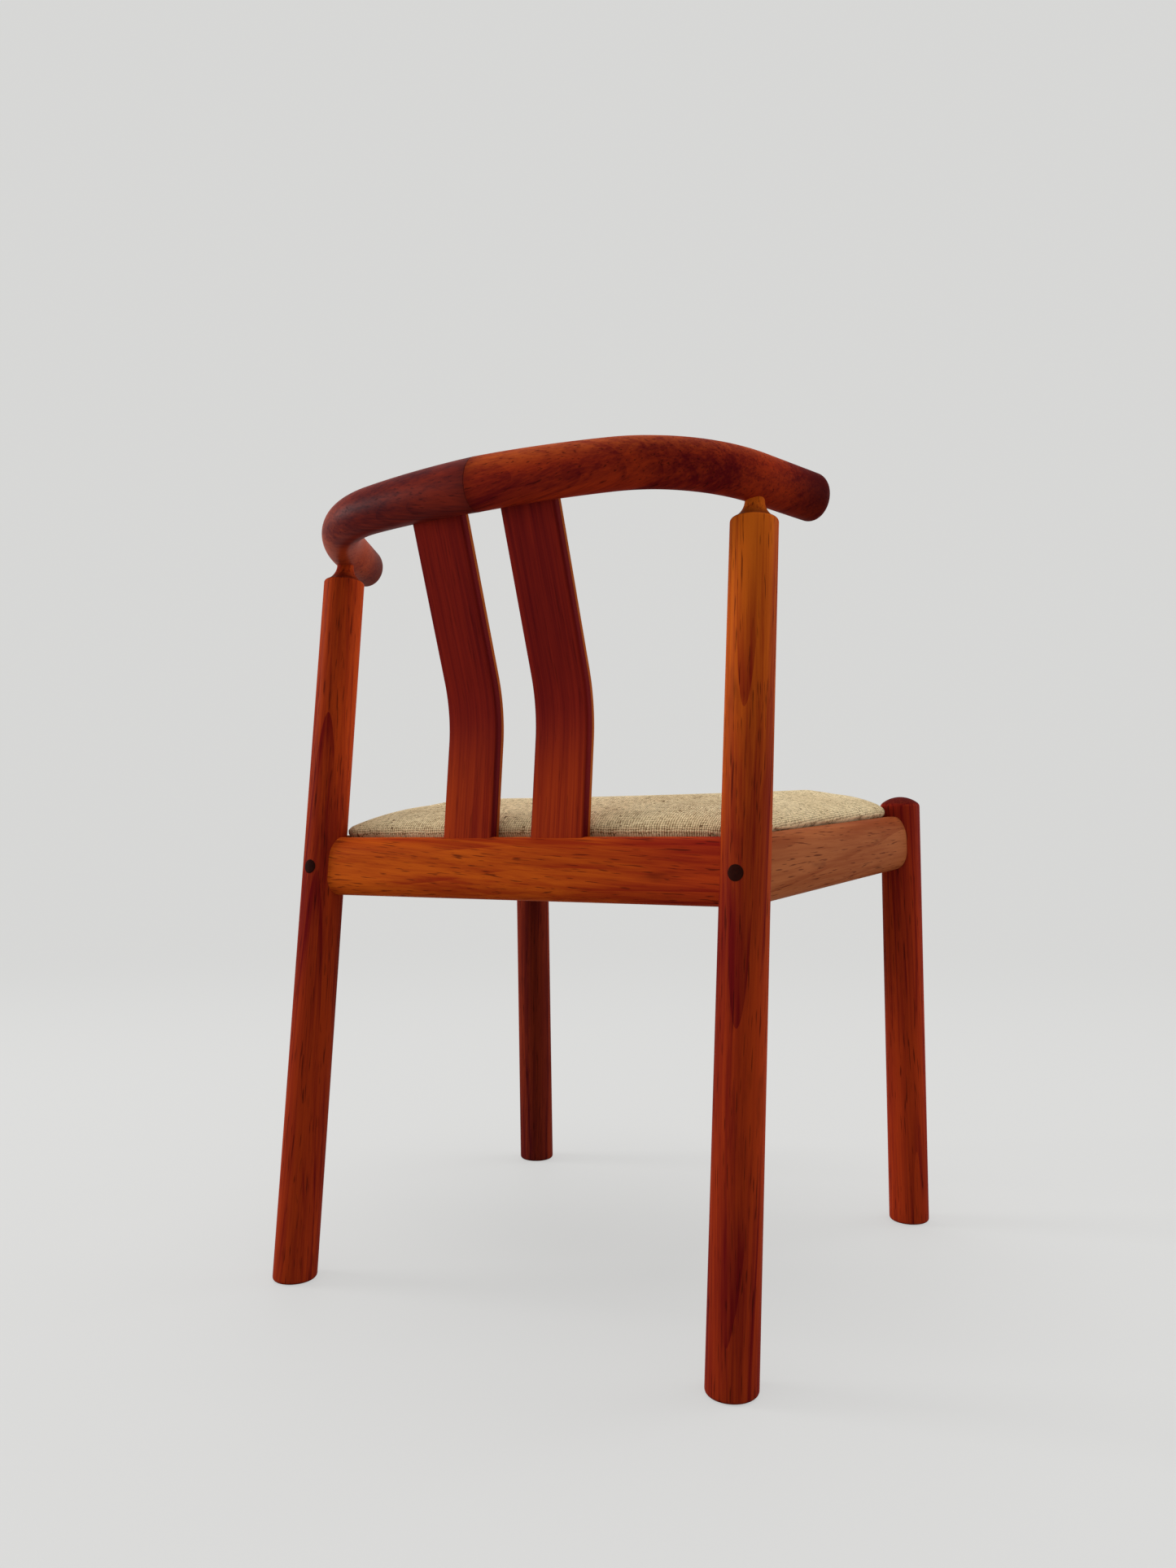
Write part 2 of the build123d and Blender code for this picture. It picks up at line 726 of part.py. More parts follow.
def staples():
    """Rows of staples along the middle of the hem, clear of the corners."""
    row = seat_outline(hem_width / 2)
    placed = []
    for i, start in enumerate(row):
        end = row[(i + 1) % len(row)]
        run = Vector(*end) - Vector(*start)
        clear = run.length - 2 * leg_diameter
        count = max(2, round(clear / staple_pitch) + 1)
        turn = math.degrees(math.atan2(run.Y, run.X))
        for j in range(count):
            share = (leg_diameter + clear * j / (count - 1)) / run.length
            at = Vector(*start) + run * share
            placed.append(SEAT_PLANE * Pos(at.X, at.Y, SEAT_BOTTOM) * Rotation(0, 0, turn) * staple())
    return placed


# Put the chair together

pieces = {}
cuts = {}


def cut(node, *tools):
    """Remember what is to be cut from a piece."""
    cuts.setdefault(node, []).extend(tools)


for name in RAIL_NAMES:
    pieces[name] = rail_blank(name)

for side_name, side in SIDES.items():
    rear_leg = f"rear_leg_{side_name}"
    front_leg = f"front_leg_{side_name}"
    side_rail = f"side_rail_{side_name}"
    pieces[rear_leg] = rear_leg_blank(side)
    pieces[front_leg] = front_leg_blank(side)
    for rail in ("back_rail", side_rail):
        cut(rail, rear_leg_space(side, glue_gap))
    for rail in ("front_rail", side_rail):
        cut(rail, front_leg_space(side, glue_gap))

    pieces[f"back_slat_{side_name}"] = back_slat(side)
    cut("back_rail", slat_mortise(side))

    pieces[f"leg_bolt_{side_name}"] = leg_bolt(side)
    pieces[f"leg_plug_{side_name}"] = leg_plug(side)
    cut(rear_leg, *bolt_holes(side))
    cut(side_rail, bolt_holes(side)[1], nut_hole(side))

    for at_rear, end_rail in ((True, "back_rail"), (False, "front_rail")):
        where = "rear" if at_rear else "front"
        block = f"corner_block_{where}_{side_name}"
        leg_space = rear_leg_space if at_rear else front_leg_space
        pieces[block] = corner_block_blank(side, at_rear)
        cut(block, rail_blank(end_rail, glue_gap), rail_blank(side_rail, glue_gap))
        cut(block, leg_space(side, block_leg_gap))
        for rail, place in zip((end_rail, side_rail), block_screw_planes(side, at_rear)):
            cut(block, place * block_screw_hole(), place * block_screw_pocket())
            cut(rail, place * block_screw_hole())

pieces["leg_bolt_washers"] = joined(leg_bolt_washer(side) for side in SIDES.values())
pieces["barrel_nuts"] = joined(barrel_nut(side) for side in SIDES.values())
pieces["corner_block_screws"] = joined(
    place * block_screw()
    for side in SIDES.values()
    for at_rear in (True, False)
    for place in block_screw_planes(side, at_rear)
)

rear_radius = rear_leg_radius(RAIL_MID_LEVEL)
dowel_joints = [
    ("back_rail_dowels", "back_rail", True, dowel_spacing, "rear_leg_right"),
    ("back_rail_dowels", "back_rail", False, dowel_spacing, "rear_leg_left"),
    ("front_rail_dowels", "front_rail", True, dowel_spacing, "front_leg_left"),
    ("front_rail_dowels", "front_rail", False, dowel_spacing, "front_leg_right"),
    ("side_rail_rear_dowels", "side_rail_left", True, bolted_dowel_spacing, "rear_leg_left"),
    ("side_rail_rear_dowels", "side_rail_right", False, bolted_dowel_spacing, "rear_leg_right"),
    ("side_rail_front_dowels", "side_rail_left", False, dowel_spacing, "front_leg_left"),
    ("side_rail_front_dowels", "side_rail_right", True, dowel_spacing, "front_leg_right"),
]
dowel_groups = {}
for group, rail, at_start, spacing, leg in dowel_joints:
    at_rear = leg.startswith("rear")
    dowels, holes = rail_end_dowels(
        rail, at_start, spacing, rear_radius if at_rear else LEG_RADIUS, REAR_UP if at_rear else FRONT_UP
    )
    dowel_groups.setdefault(group, []).extend(dowels)
    cut(rail, *holes)
    cut(leg, *holes)

centre_pins, centre_holes = centre_dowels()
dowel_groups["top_rail_dowels"] = centre_pins
pieces["top_rail_left"] = top_rail_half()
cut("top_rail_left", tenon_bore(SIDES["left"]), slat_mortise(SIDES["left"]), *centre_holes)
for group, dowels in dowel_groups.items():
    pieces[group] = joined(dowels)

cover_outside = pad_form(0)
cover_inside = pad_form(cover_thickness)
hem_opening = seat_sheet(hem_width, SEAT_BOTTOM - cover_thickness, 2 * cover_thickness)
pieces["seat_cover"] = cover_outside - cover_inside - hem_opening
pieces["seat_board"] = cover_inside & seat_slab(SEAT_BOTTOM, BOARD_TOP)
pieces["seat_foam"] = cover_inside & seat_slab(BOARD_TOP, 2 * crown_height)
pieces["seat_dust_cover"] = seat_sheet(
    dust_cover_inset, SEAT_BOTTOM - dust_cover_thickness, dust_cover_thickness
)
pieces["cover_staples"] = joined(staples())

for node, tools in cuts.items():
    for tool in tools:
        pieces[node] = pieces[node] - tool
pieces["top_rail_right"] = mirror(pieces["top_rail_left"], about=Plane.YZ)

# Move the chair so that the origin lies under the middle of its box, and write each piece

box = joined(pieces["rear_leg_left"].solids() + pieces["front_leg_left"].solids()
             + pieces["top_rail_left"].solids()).bounding_box()
to_middle = Pos(0, -(box.min.Y + box.max.Y) / 2, 0)
print("moved along Y by", round(to_middle.position.Y, 4))

os.makedirs("parts", exist_ok=True)
for node, piece in pieces.items():
    placed = to_middle * piece
    solids = placed.solids()
    export_step(solids[0] if len(solids) == 1 else Compound(children=solids), f"parts/{node}.step")
    print(node, len(solids), round(sum(solid.volume for solid in solids)))
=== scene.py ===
# %% [markdown]
# # A teak dining chair with a horseshoe top rail and a drop-in seat
# The solid model of the chair is finished before this lesson starts. Here it gets its looks: turned legs,
# a shaped top rail, bent slats, a woven seat, oiled teak, light and a camera. Everything is drawn in the
# solid model's own frame, so a surface worked out from the same sizes lands exactly where the solid is.
# The sizes below are millimetres, and a piece becomes metres only when its mesh is made.

# %% Load the solid model
import math

import bpy
import numpy as np
from mathutils import Matrix


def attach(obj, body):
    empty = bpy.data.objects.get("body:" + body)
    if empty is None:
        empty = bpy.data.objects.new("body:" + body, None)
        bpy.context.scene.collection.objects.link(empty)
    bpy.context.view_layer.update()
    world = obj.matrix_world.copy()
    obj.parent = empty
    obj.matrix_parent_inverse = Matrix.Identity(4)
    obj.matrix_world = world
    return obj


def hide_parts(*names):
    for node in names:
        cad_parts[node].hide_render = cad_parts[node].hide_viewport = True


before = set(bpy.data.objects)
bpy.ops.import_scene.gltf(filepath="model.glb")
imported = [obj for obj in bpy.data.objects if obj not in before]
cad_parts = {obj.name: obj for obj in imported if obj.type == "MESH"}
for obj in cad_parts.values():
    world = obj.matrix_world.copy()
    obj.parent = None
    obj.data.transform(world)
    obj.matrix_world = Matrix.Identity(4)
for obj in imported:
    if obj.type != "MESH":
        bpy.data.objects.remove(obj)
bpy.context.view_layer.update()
MM = 0.001

# %% [markdown]
# ## Main lines of the chair
# A chair maker sets out the legs first, because every other piece is fitted to them. The rear legs lean
# forward and the front legs lean back a little. Two directions describe each leg: up along its axis, and
# backwards, square to it.

# %% Legs, directions and the seat plane
rear_foot_y, front_foot_y = 209.88, -222.62
rear_x, front_x = 216.5, 232.0
rear_lean, front_lean = math.radians(5.5), math.radians(-1.25)
seat_tilt = math.radians(2.732)
SIDES = {"left": 1, "right": -1}
ACROSS = np.array([1.0, 0.0, 0.0])


def unit(vector):
    """A vector of length 1 in the same direction."""
    return vector / np.linalg.norm(vector)


def leaning(angle):
    """The directions along and square to an axis that leans forward by an angle, in the YZ plane."""
    along = np.array([0.0, -math.sin(angle), math.cos(angle)])
    backward = np.array([0.0, math.cos(angle), math.sin(angle)])
    return along, backward


rear_up, rear_back = leaning(rear_lean)
rear_foot = np.array([0.0, rear_foot_y, 0.0])
seat_origin = np.array([0.0, 171.03, 403.5])
seat_out, seat_back = leaning(-seat_tilt)
print("rear feet", 2 * rear_x, "mm apart, front feet", 2 * front_x, "mm apart")

# %% [markdown]
# ## From arrays to a mesh
# Nearly every piece of a chair is a closed tube: rings of points, one after the other, with both ends
# shut. Such a shape needs no modelling by hand. Its points are one array of rings, and its faces follow
# from counting. A fan of triangles to a single point, the pole, shuts each end. The signed volume says
# whether the faces look outwards: it is negative when the shape is inside out.

# %% Tube faces and the maker of pieces
def tube_faces(rings, around):
    """Quads between neighbouring rings, then a fan to a pole at each end.

    Point number is ring * around + step, and the first and last pole follow the rings.
    """
    step = np.arange(around)
    after = (step + 1) % around
    base = np.arange(rings - 1)[:, None] * around
    quads = np.stack([base + step, base + after, base + around + after, base + around + step], -1)
    last = (rings - 1) * around
    poles = np.full((2, around), [[rings * around], [rings * around + 1]])
    low = np.stack([poles[0], after, step], -1)
    high = np.stack([poles[1], last + step, last + after], -1)
    return quads.reshape(-1, 4).tolist() + low.tolist() + high.tolist()


def mesh_points(mesh):
    """All points of a mesh, in millimetres."""
    points = np.zeros(len(mesh.vertices) * 3, np.float32)
    mesh.vertices.foreach_get("co", points)
    return points.reshape(-1, 3).astype(float) / MM


def signed_volume(mesh):
    """Sum of a . (b x c) / 6 over the triangles."""
    mesh.calc_loop_triangles()
    corners = np.zeros(len(mesh.loop_triangles) * 3, np.int32)
    mesh.loop_triangles.foreach_get("vertices", corners)
    a, b, c = mesh_points(mesh)[corners.reshape(-1, 3)].transpose(1, 0, 2)
    return float(np.einsum("ij,ij->", a, np.cross(b, c)) / 6)


def give_attribute(mesh, name, values):
    """Stores a number or a vector on each point, for the materials to read."""
    kind, field = ("FLOAT_VECTOR", "vector") if values.ndim == 2 else ("FLOAT", "value")
    made = mesh.attributes.new(name, kind, "POINT")
    made.data.foreach_set(field, values.astype(np.float32).ravel())


def make_tube(name, rings, poles=None, **attributes):
    """A smooth closed tube at the origin, from rings of points in millimetres, with its faces outwards.

    The poles are the middles of the end rings unless given. Attributes have a value for each ring and step.
    """
    count, around = rings.shape[:2]
    if poles is None:
        poles = [rings[0].mean(0), rings[-1].mean(0)]
    points = np.concatenate([rings.reshape(-1, 3), poles])
    mesh = bpy.data.meshes.new(name)
    mesh.from_pydata((points * MM).tolist(), [], tube_faces(count, around))
    if signed_volume(mesh) < 0:
        mesh.flip_normals()
    mesh.shade_smooth()
    for label, values in attributes.items():
        flat = values.reshape(count * around, -1)
        ends = np.stack([flat[:around].mean(0), flat[-around:].mean(0)])
        give_attribute(mesh, label, np.squeeze(np.concatenate([flat, ends])))
    piece = bpy.data.objects.new(name, mesh)
    bpy.context.scene.collection.objects.link(piece)
    return piece


def settle(piece, body, slot, *nodes):
    """The piece rides on a body and stands for the solids it covers, which it hides; the slot is not used."""
    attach(piece, body)
    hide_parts(*nodes)
    print(piece.name, len(piece.data.vertices), "points, stands for", ", ".join(nodes))
    return piece

# %% [markdown]
# ## Turned legs
# A leg comes off a lathe, so it is a surface of revolution: a radius for each height, spun about the
# axis. Blender has a Spin tool and a Screw modifier for this, but the legs lean and still stand flat on
# the floor. With the points at hand that is easy: near the floor each ring is tipped by the lean until
# the lowest one lies level.

# %% Profiles and rings of the legs
leg_radius, rear_top_radius, foot_round = 20.0, 19.5, 3.0
shoulder_at, shoulder_round, neck_radius, neck_slope = 656.02, 3.0, 8.0, 27.0
rear_leg_end = 690.0
dome_top, dome_rise, dome_edge = 442.1, 8.0, 2.5
level_height, leg_steps = 70.0, 96


def circle(steps):
    """Equal steps of angle once round, without the last, which is the first again."""
    return np.linspace(0, 2 * np.pi, steps, endpoint=False)


def arc(centre, radius, start, end, steps):
    """Points on a circle between two angles in degrees, as radius across and height up."""
    angle = np.radians(np.linspace(start, end, steps))
    return np.c_[centre[0] + radius * np.cos(angle), centre[1] + radius * np.sin(angle)]


def straight(start, end, steps):
    """Points on the line between two points, without its ends."""
    share = np.linspace(0, 1, steps + 2)[1:-1, None]
    return np.array(start) * (1 - share) + np.array(end) * share


def bend(start, corner, end, steps):
    """A curve from start to end that leaves towards the corner: (1-s)^2 a + 2 s (1-s) b + s^2 c."""
    s = np.linspace(0, 1, steps)[:, None]
    return (1 - s) ** 2 * np.array(start) + 2 * s * (1 - s) * np.array(corner) + s**2 * np.array(end)


foot_edge = arc((leg_radius - foot_round, foot_round), foot_round, -90, 0, 7)
shoulder = arc((rear_top_radius - shoulder_round, shoulder_at), shoulder_round, 0, 90 - neck_slope, 9)
slope = math.radians(neck_slope)
hollow_radius = (shoulder[-1][0] - neck_radius) / (1 - math.sin(slope))
hollow_level = shoulder[-1][1] + hollow_radius * math.cos(slope)
hollow = arc((neck_radius + hollow_radius, hollow_level), hollow_radius, -90 - neck_slope, -180, 15)
rear_profile = np.concatenate([
    foot_edge,
    straight(foot_edge[-1], shoulder[0], 60),
    shoulder,
    hollow,
    [(neck_radius, rear_leg_end)],
])

dome_radius = (leg_radius**2 + dome_rise**2) / (2 * dome_rise)
dome_rim = math.degrees(math.asin(leg_radius / dome_radius))
dome = arc((0, dome_top - dome_radius), dome_radius, 90 - dome_rim + 6, 89, 14)
dome_corner = (leg_radius, dome_top - dome_rise)
rim = bend((leg_radius, dome_corner[1] - dome_edge), dome_corner, dome[0], 8)
front_profile = np.concatenate([foot_edge, straight(foot_edge[-1], rim[0], 40), rim, dome[1:]])


def turned_rings(profile, foot, lean):
    """foot + t up + r (cos a across + sin a back), with t lowered by r sin(a) tan(lean) near the floor."""
    up, back = leaning(lean)
    angle = circle(leg_steps)
    radius, height = profile[:, :1], profile[:, 1:]
    share = np.clip(height / level_height, 0, 1)
    level = 1 - share**2 * (3 - 2 * share)
    along = height - radius * np.sin(angle) * math.tan(lean) * level
    spokes = radius[..., None] * (np.cos(angle)[:, None] * ACROSS + np.sin(angle)[:, None] * back)
    return foot + along[..., None] * up + spokes


def end_grain(profile):
    """1 where the turned profile runs across the wood's fibres, 0 where it runs along them."""
    run = np.gradient(profile, axis=0)
    steepness = np.abs(run[:, 0]) / np.linalg.norm(run, axis=1)
    return np.repeat(steepness[:, None], leg_steps, axis=1)


legs = {}
for side_name, side in SIDES.items():
    for where, profile, foot_x, foot_y, lean in (
        ("rear", rear_profile, rear_x, rear_foot_y, rear_lean),
        ("front", front_profile, front_x, front_foot_y, front_lean),
    ):
        node = f"{where}_leg_{side_name}"
        foot = np.array([side * foot_x, foot_y, 0.0])
        rings = turned_rings(profile, foot, lean)
        top = foot + leaning(lean)[0] * (rear_leg_end if where == "rear" else dome_top)
        leg = make_tube("turned_" + node, rings, (foot, top), end_grain=end_grain(profile))
        legs[node] = settle(leg, "frame", "teak", node)

# %% [markdown]
# ## Seat rails
# Four straight rails join the legs below the seat. Their outer face is softly rounded, with a longer
# curve at the top than at the bottom, and their inner face is flat. A Bevel modifier gives circular edges
# only, so the section is drawn with quarter ellipses and carried along the line from one leg's axis to
# the next. The ends lie hidden in the legs, and the seam on the round leg comes out as the curve that a
# fitted joint shows.

# %% Rail section and the four rails
bar_thickness, bar_height, bar_inner_round = 23.0, 54.5, 4.0
rear_bar_level, front_bar_level = 376.25, 394.75
end_curves, side_curves = (21.0, 15.0), (24.0, 19.0)


def closed_outline(corners, per_side=5):
    """Four curved corners in order, with points on the straight lines between them."""
    after = corners[1:] + corners[:1]
    sides = [straight(one[-1], other[0], per_side) for one, other in zip(corners, after)]
    return np.concatenate([part for pair in zip(corners, sides) for part in pair])


def bar_section(top_curve, bottom_curve):
    """Outline as out and up: quarter ellipses on the outer face, small quarter circles on the inner one."""
    wide, tall, small = bar_thickness / 2, bar_height / 2, bar_inner_round
    return closed_outline([
        arc((0, 0), 1, 90, 0, 18) * (wide, top_curve) + (0, tall - top_curve),
        arc((0, 0), 1, 0, -90, 18) * (wide, bottom_curve) + (0, bottom_curve - tall),
        arc((small - wide, small - tall), small, -90, -180, 7),
        arc((small - wide, tall - small), small, 180, 90, 7),
    ])


def bar_rings(start, end, outward, section, count=64):
    """start + s (end - start) + u outward + v up, with u and v on the section's outline."""
    up = unit(np.cross(end - start, outward))
    up = up * np.sign(up[2])
    middle = start + np.linspace(0, 1, count)[:, None] * (end - start)
    return middle[:, None] + section[:, :1] * outward + section[:, 1:] * up


def bar_end(side, where):
    """Where a rail meets the axis of a leg."""
    if where == "rear":
        return np.array([side * rear_x, rear_foot_y - rear_bar_level * math.tan(rear_lean), rear_bar_level])
    return np.array([side * front_x, front_foot_y - front_bar_level * math.tan(front_lean), front_bar_level])


bars = {
    "back_rail": (bar_end(1, "rear"), bar_end(-1, "rear"), rear_back, end_curves),
    "front_rail": (bar_end(1, "front"), bar_end(-1, "front"), -leaning(front_lean)[1], end_curves),
}
for side_name, side in SIDES.items():
    start, end = bar_end(side, "rear"), bar_end(side, "front")
    outward = np.array([side * (start[1] - end[1]), side * (end[0] - start[0]), 0.0])
    bars[f"side_rail_{side_name}"] = (start, end, unit(outward), side_curves)
rails = {}
for node, (start, end, outward, curves) in bars.items():
    rail = make_tube("rounded_" + node, bar_rings(start, end, outward, bar_section(*curves)), (start, end))
    rails[node] = settle(rail, "frame", "teak", node)

# %% [markdown]
# ## The top rail
# The horseshoe is made of two mirrored halves that meet behind the sitter. Each is an oval carried along
# a path: a long arc, a tighter arc over the leg, and a short straight arm with a rounded tip. A bevelled
# curve could do it, but here the oval also tapers, rounds off at the tip and gets a fine chamfer at the
# centre joint. All of that is one number per station, the amount by which the oval is drawn in. Another
# number darkens the wood: at the joint it is oil in the end grain, and along the arm towards the tip it
# is painted shade, where the arm's inner face turns away from the light.

# %% Path, oval and the two halves
rail_width, rail_height, middle_height, rail_bow, rail_along_leg = 37.0, 41.6, 47.0, 81.0, 693.89
corner_radius, leg_heading, arm_heading, arm_length = 128.0, math.radians(64.3), math.radians(65.8), 69.8
tip_taper, taper_length, tip_round, joint_chamfer = 0.024, 158.0, 10.5, 0.35
tip_shade_reach, joint_oil, joint_oil_reach = 90.0, 0.65, 40.0
past_corner = rear_x - corner_radius * math.sin(leg_heading)
past_depth = rail_bow - corner_radius * (1 - math.cos(leg_heading))
back_turn = 2 * math.atan2(past_depth, past_corner)
back_radius = past_corner / math.sin(back_turn) + corner_radius
back_length = back_radius * back_turn
corner_length = corner_radius * (arm_heading - back_turn)
rail_length = back_length + corner_length + arm_length


def rail_path(travel):
    """Across, backwards and heading of the rail's centre line: arc, tighter arc, straight line."""
    heading = np.where(
        travel < back_length,
        travel / back_radius,
        np.minimum(back_turn + (travel - back_length) / corner_radius, arm_heading),
    )
    first = np.minimum(heading, back_turn)
    beyond = np.maximum(travel - back_length - corner_length, 0)
    x = back_radius * np.sin(first) + corner_radius * (np.sin(heading) - np.sin(first))
    x = x + beyond * np.cos(heading)
    y = rail_bow - back_radius * (1 - np.cos(first)) - corner_radius * (np.cos(first) - np.cos(heading))
    return x, y - beyond * np.sin(heading), heading


def rail_stations():
    """Distances along the rail, closer together at the joint, and at the tip as cos of equal steps."""
    joint = np.linspace(0, 2 * joint_chamfer, 4)
    run = np.linspace(2 * joint_chamfer, rail_length - tip_round, 110)[1:-1]
    tip = rail_length - tip_round * (1 - np.sin(np.linspace(0, np.pi / 2, 14)))
    return np.concatenate([joint, run, tip])


def drawn_in(travel):
    """Millimetres that the oval shrinks by: a fine chamfer at the joint, a quarter circle at the tip."""
    chamfer = np.maximum(joint_chamfer - travel, 0)
    from_end = np.clip(tip_round - (rail_length - travel), 0, tip_round)
    return chamfer + tip_round - np.sqrt(tip_round**2 - from_end**2)


def rail_halves(travel):
    """Half the oval's width and height: tallest in the middle of the back, then tapered to the tip."""
    taper = 1 - tip_taper * np.clip(1 - (rail_length - travel) / taper_length, 0, 1)
    along_back = np.clip(travel / (rail_length - taper_length), 0, 1)
    return taper * rail_width / 2, taper * (middle_height + (rail_height - middle_height) * along_back) / 2


def tip_shade_and_joint_oil(travel):
    """Painted shade on the arm, 1 at the tip, and weaker oil at the joint, each falling evenly over its
    reach.
    """
    at_tip = 1 - (rail_length - travel) / tip_shade_reach
    at_joint = joint_oil - travel / joint_oil_reach
    return np.clip(np.maximum(at_tip, at_joint), 0, 1)


def top_rail_rings(side, around=72):
    """Centre + a cos(t) outwards + b sin(t) up, with a and b drawn in at the joint and the tip."""
    travel = rail_stations()
    x, y, heading = rail_path(travel)
    wide, tall = [(half - drawn_in(travel))[:, None] for half in rail_halves(travel)]
    angle = circle(around)
    across = x[:, None] + wide * np.cos(angle) * np.sin(heading)[:, None]
    backward = y[:, None] + wide * np.cos(angle) * np.cos(heading)[:, None]
    rise = np.broadcast_to(tall * np.sin(angle), across.shape)
    start = rear_foot + rear_up * rail_along_leg
    middle = start + across[..., None] * side * ACROSS
    return middle + backward[..., None] * rear_back + rise[..., None] * rear_up


top_rails = {}
for side_name, side in SIDES.items():
    node = f"top_rail_{side_name}"
    rings = top_rail_rings(side)
    darkened = np.repeat(tip_shade_and_joint_oil(rail_stations())[:, None], rings.shape[1], axis=1)
    half = make_tube("shaped_" + node, rings, end_grain=darkened)
    top_rails[node] = settle(half, "frame", "teak", node)
print("half of the rail is", round(rail_length, 1), "mm along its centre line")

# %% [markdown]
# ## The bent slats
# The two slats are laminated from thin veneers in a curved press, so their grain follows the bend. A
# rounded rectangle is carried along a path of line, arc and line. The distance along the path is kept on
# each point, and the wood material reads it in place of a straight axis, so the streaks bend with the
# slat as they do in life.

# %% Slat path and section
slat_width, slat_thickness, slat_round, slat_gap = 53.0, 13.0, 2.5, 40.0
slat_forward, slat_foot_depth, slat_head_depth, slat_head_forward = 2.3, 18.0, 16.0, 3.0
back_rail_top, slat_bend_level, slat_bend_radius = 403.5, 516.0, 141.0
slat_x = (slat_gap + slat_width) / 2


def rounded_box(width, height, radius, per_corner=7):
    """Outline of a rectangle whose corners are quarter circles."""
    corners = []
    for turn, (sx, sy) in enumerate([(1, 1), (-1, 1), (-1, -1), (1, -1)]):
        centre = (sx * (width / 2 - radius), sy * (height / 2 - radius))
        corners.append(arc(centre, radius, 90 * turn, 90 * turn + 90, per_corner))
    return closed_outline(corners)


def slat_path():
    """Points, tangents and travelled length of the slat's middle, in the YZ plane."""
    foot = rear_foot + rear_up * (back_rail_top / rear_up[2]) - rear_back * slat_forward
    corner = foot + rear_up * ((slat_bend_level - foot[2]) / rear_up[2])
    bow = rail_bow - back_radius + math.sqrt(back_radius**2 - slat_x**2)
    head = rear_foot + rear_up * rail_along_leg + rear_back * bow - np.array([0, slat_head_forward, 0])
    lean_back = unit(head - corner)
    start = foot - rear_up * slat_foot_depth
    end = head - lean_back * (float(rail_halves(slat_x)[1]) - slat_head_depth)
    turn = math.acos(float(rear_up @ lean_back))
    reach = slat_bend_radius * math.tan(turn / 2)
    before, after = corner - rear_up * reach, corner + lean_back * reach
    inward = unit(lean_back - rear_up * (lean_back @ rear_up))
    angle = np.linspace(0, turn, 24)[:, None]
    curve = before + slat_bend_radius * (np.sin(angle) * rear_up + (1 - np.cos(angle)) * inward)
    points = np.concatenate([[start], straight(start, before, 16), curve, straight(after, end, 24), [end]])
    tangent = np.gradient(points, axis=0)
    tangent = tangent / np.linalg.norm(tangent, axis=1)[:, None]
    length = np.concatenate([[0], np.cumsum(np.linalg.norm(np.diff(points, axis=0), axis=1))])
    return points, tangent, length


def slat_rings(side):
    """Path + u across + v square to the path, with (u, v, travelled length) as the grain's own frame."""
    points, tangent, length = slat_path()
    outline = rounded_box(slat_width, slat_thickness, slat_round)
    forward = np.cross(ACROSS, tangent)
    middle = points + side * slat_x * ACROSS
    rings = middle[:, None] + outline[:, 0, None] * ACROSS + outline[:, 1, None] * forward[:, None]
    grain = np.empty(rings.shape)
    grain[..., :2] = outline
    grain[..., 2] = length[:, None]
    return rings, grain * MM


slats = {}
for side_name, side in SIDES.items():
    node = f"back_slat_{side_name}"
    rings, grain = slat_rings(side)
    slat = make_tube("bent_" + node, rings, grain=grain)
    slats[node] = settle(slat, "frame", "slat_teak", node)

# %% [markdown]
# ## Plugs over the bolts
# A dark wooden plug hides each bolt at the back of a rear leg. Its face follows the round leg and stands
# a hair proud of it. The face is a polar grid: distance from the middle times angle. Each point is
# dropped on to the leg's cylinder, and the outermost rings turn down into the leg, which leaves a soft
# edge and a fine shadow.

# %% Plug faces on the legs
plug_radius, plug_proud, plug_edge, plug_sink, plug_level = 6.5, 0.35, 0.5, 2.0, 376.25


def on_rear_leg(x, z, lift):
    """Backward place of the leg's skin: y0 + (sqrt(R^2 - x^2) - dz sin(lean)) / cos(lean), lifted."""
    radius = leg_radius + (rear_top_radius - leg_radius) * plug_level / shoulder_at
    axis_y = rear_foot_y - plug_level * math.tan(rear_lean)
    fall = (z - plug_level) * math.sin(rear_lean)
    return axis_y + (np.sqrt((radius + lift) ** 2 - x**2) - fall) / math.cos(rear_lean)


def plug_rings(side, around=48):
    """Rings from the middle outwards, then over a rounded edge and down into the leg."""
    face = np.linspace(0.6, plug_radius - plug_edge, 8)
    edge = np.radians(np.linspace(15, 90, 5))
    distance = np.concatenate([face, plug_radius - plug_edge + plug_edge * np.sin(edge), [plug_radius]])
    lift = np.concatenate([np.full(8, plug_proud), plug_proud - plug_edge * (1 - np.cos(edge)), [-plug_sink]])
    angle = circle(around)
    x = distance[:, None] * np.cos(angle)
    z = plug_level + distance[:, None] * np.sin(angle)
    y = on_rear_leg(x, z, lift[:, None])
    return np.stack([x + side * rear_x, y, z], -1)


plugs = {}
for side_name, side in SIDES.items():
    node = f"leg_plug_{side_name}"
    plugs[node] = settle(make_tube("domed_" + node, plug_rings(side)), "frame", "plug_wood", node)

# %% [markdown]
# ## The padded seat
# The seat is a board with foam on it and a woven cover pulled over both. The cover is tight at the edge,
# where it laps a little over the rails, and full in the middle, and it is lower at the corners, where two
# edges pull at once. The form is a grid of distance times angle. Its plan is a trapezoid with a hollow
# for each leg, and its height is the product of three rises, from the sides, from the rear and from the
# front. A cloth simulation under light pressure then fills it as a cover is filled by foam.

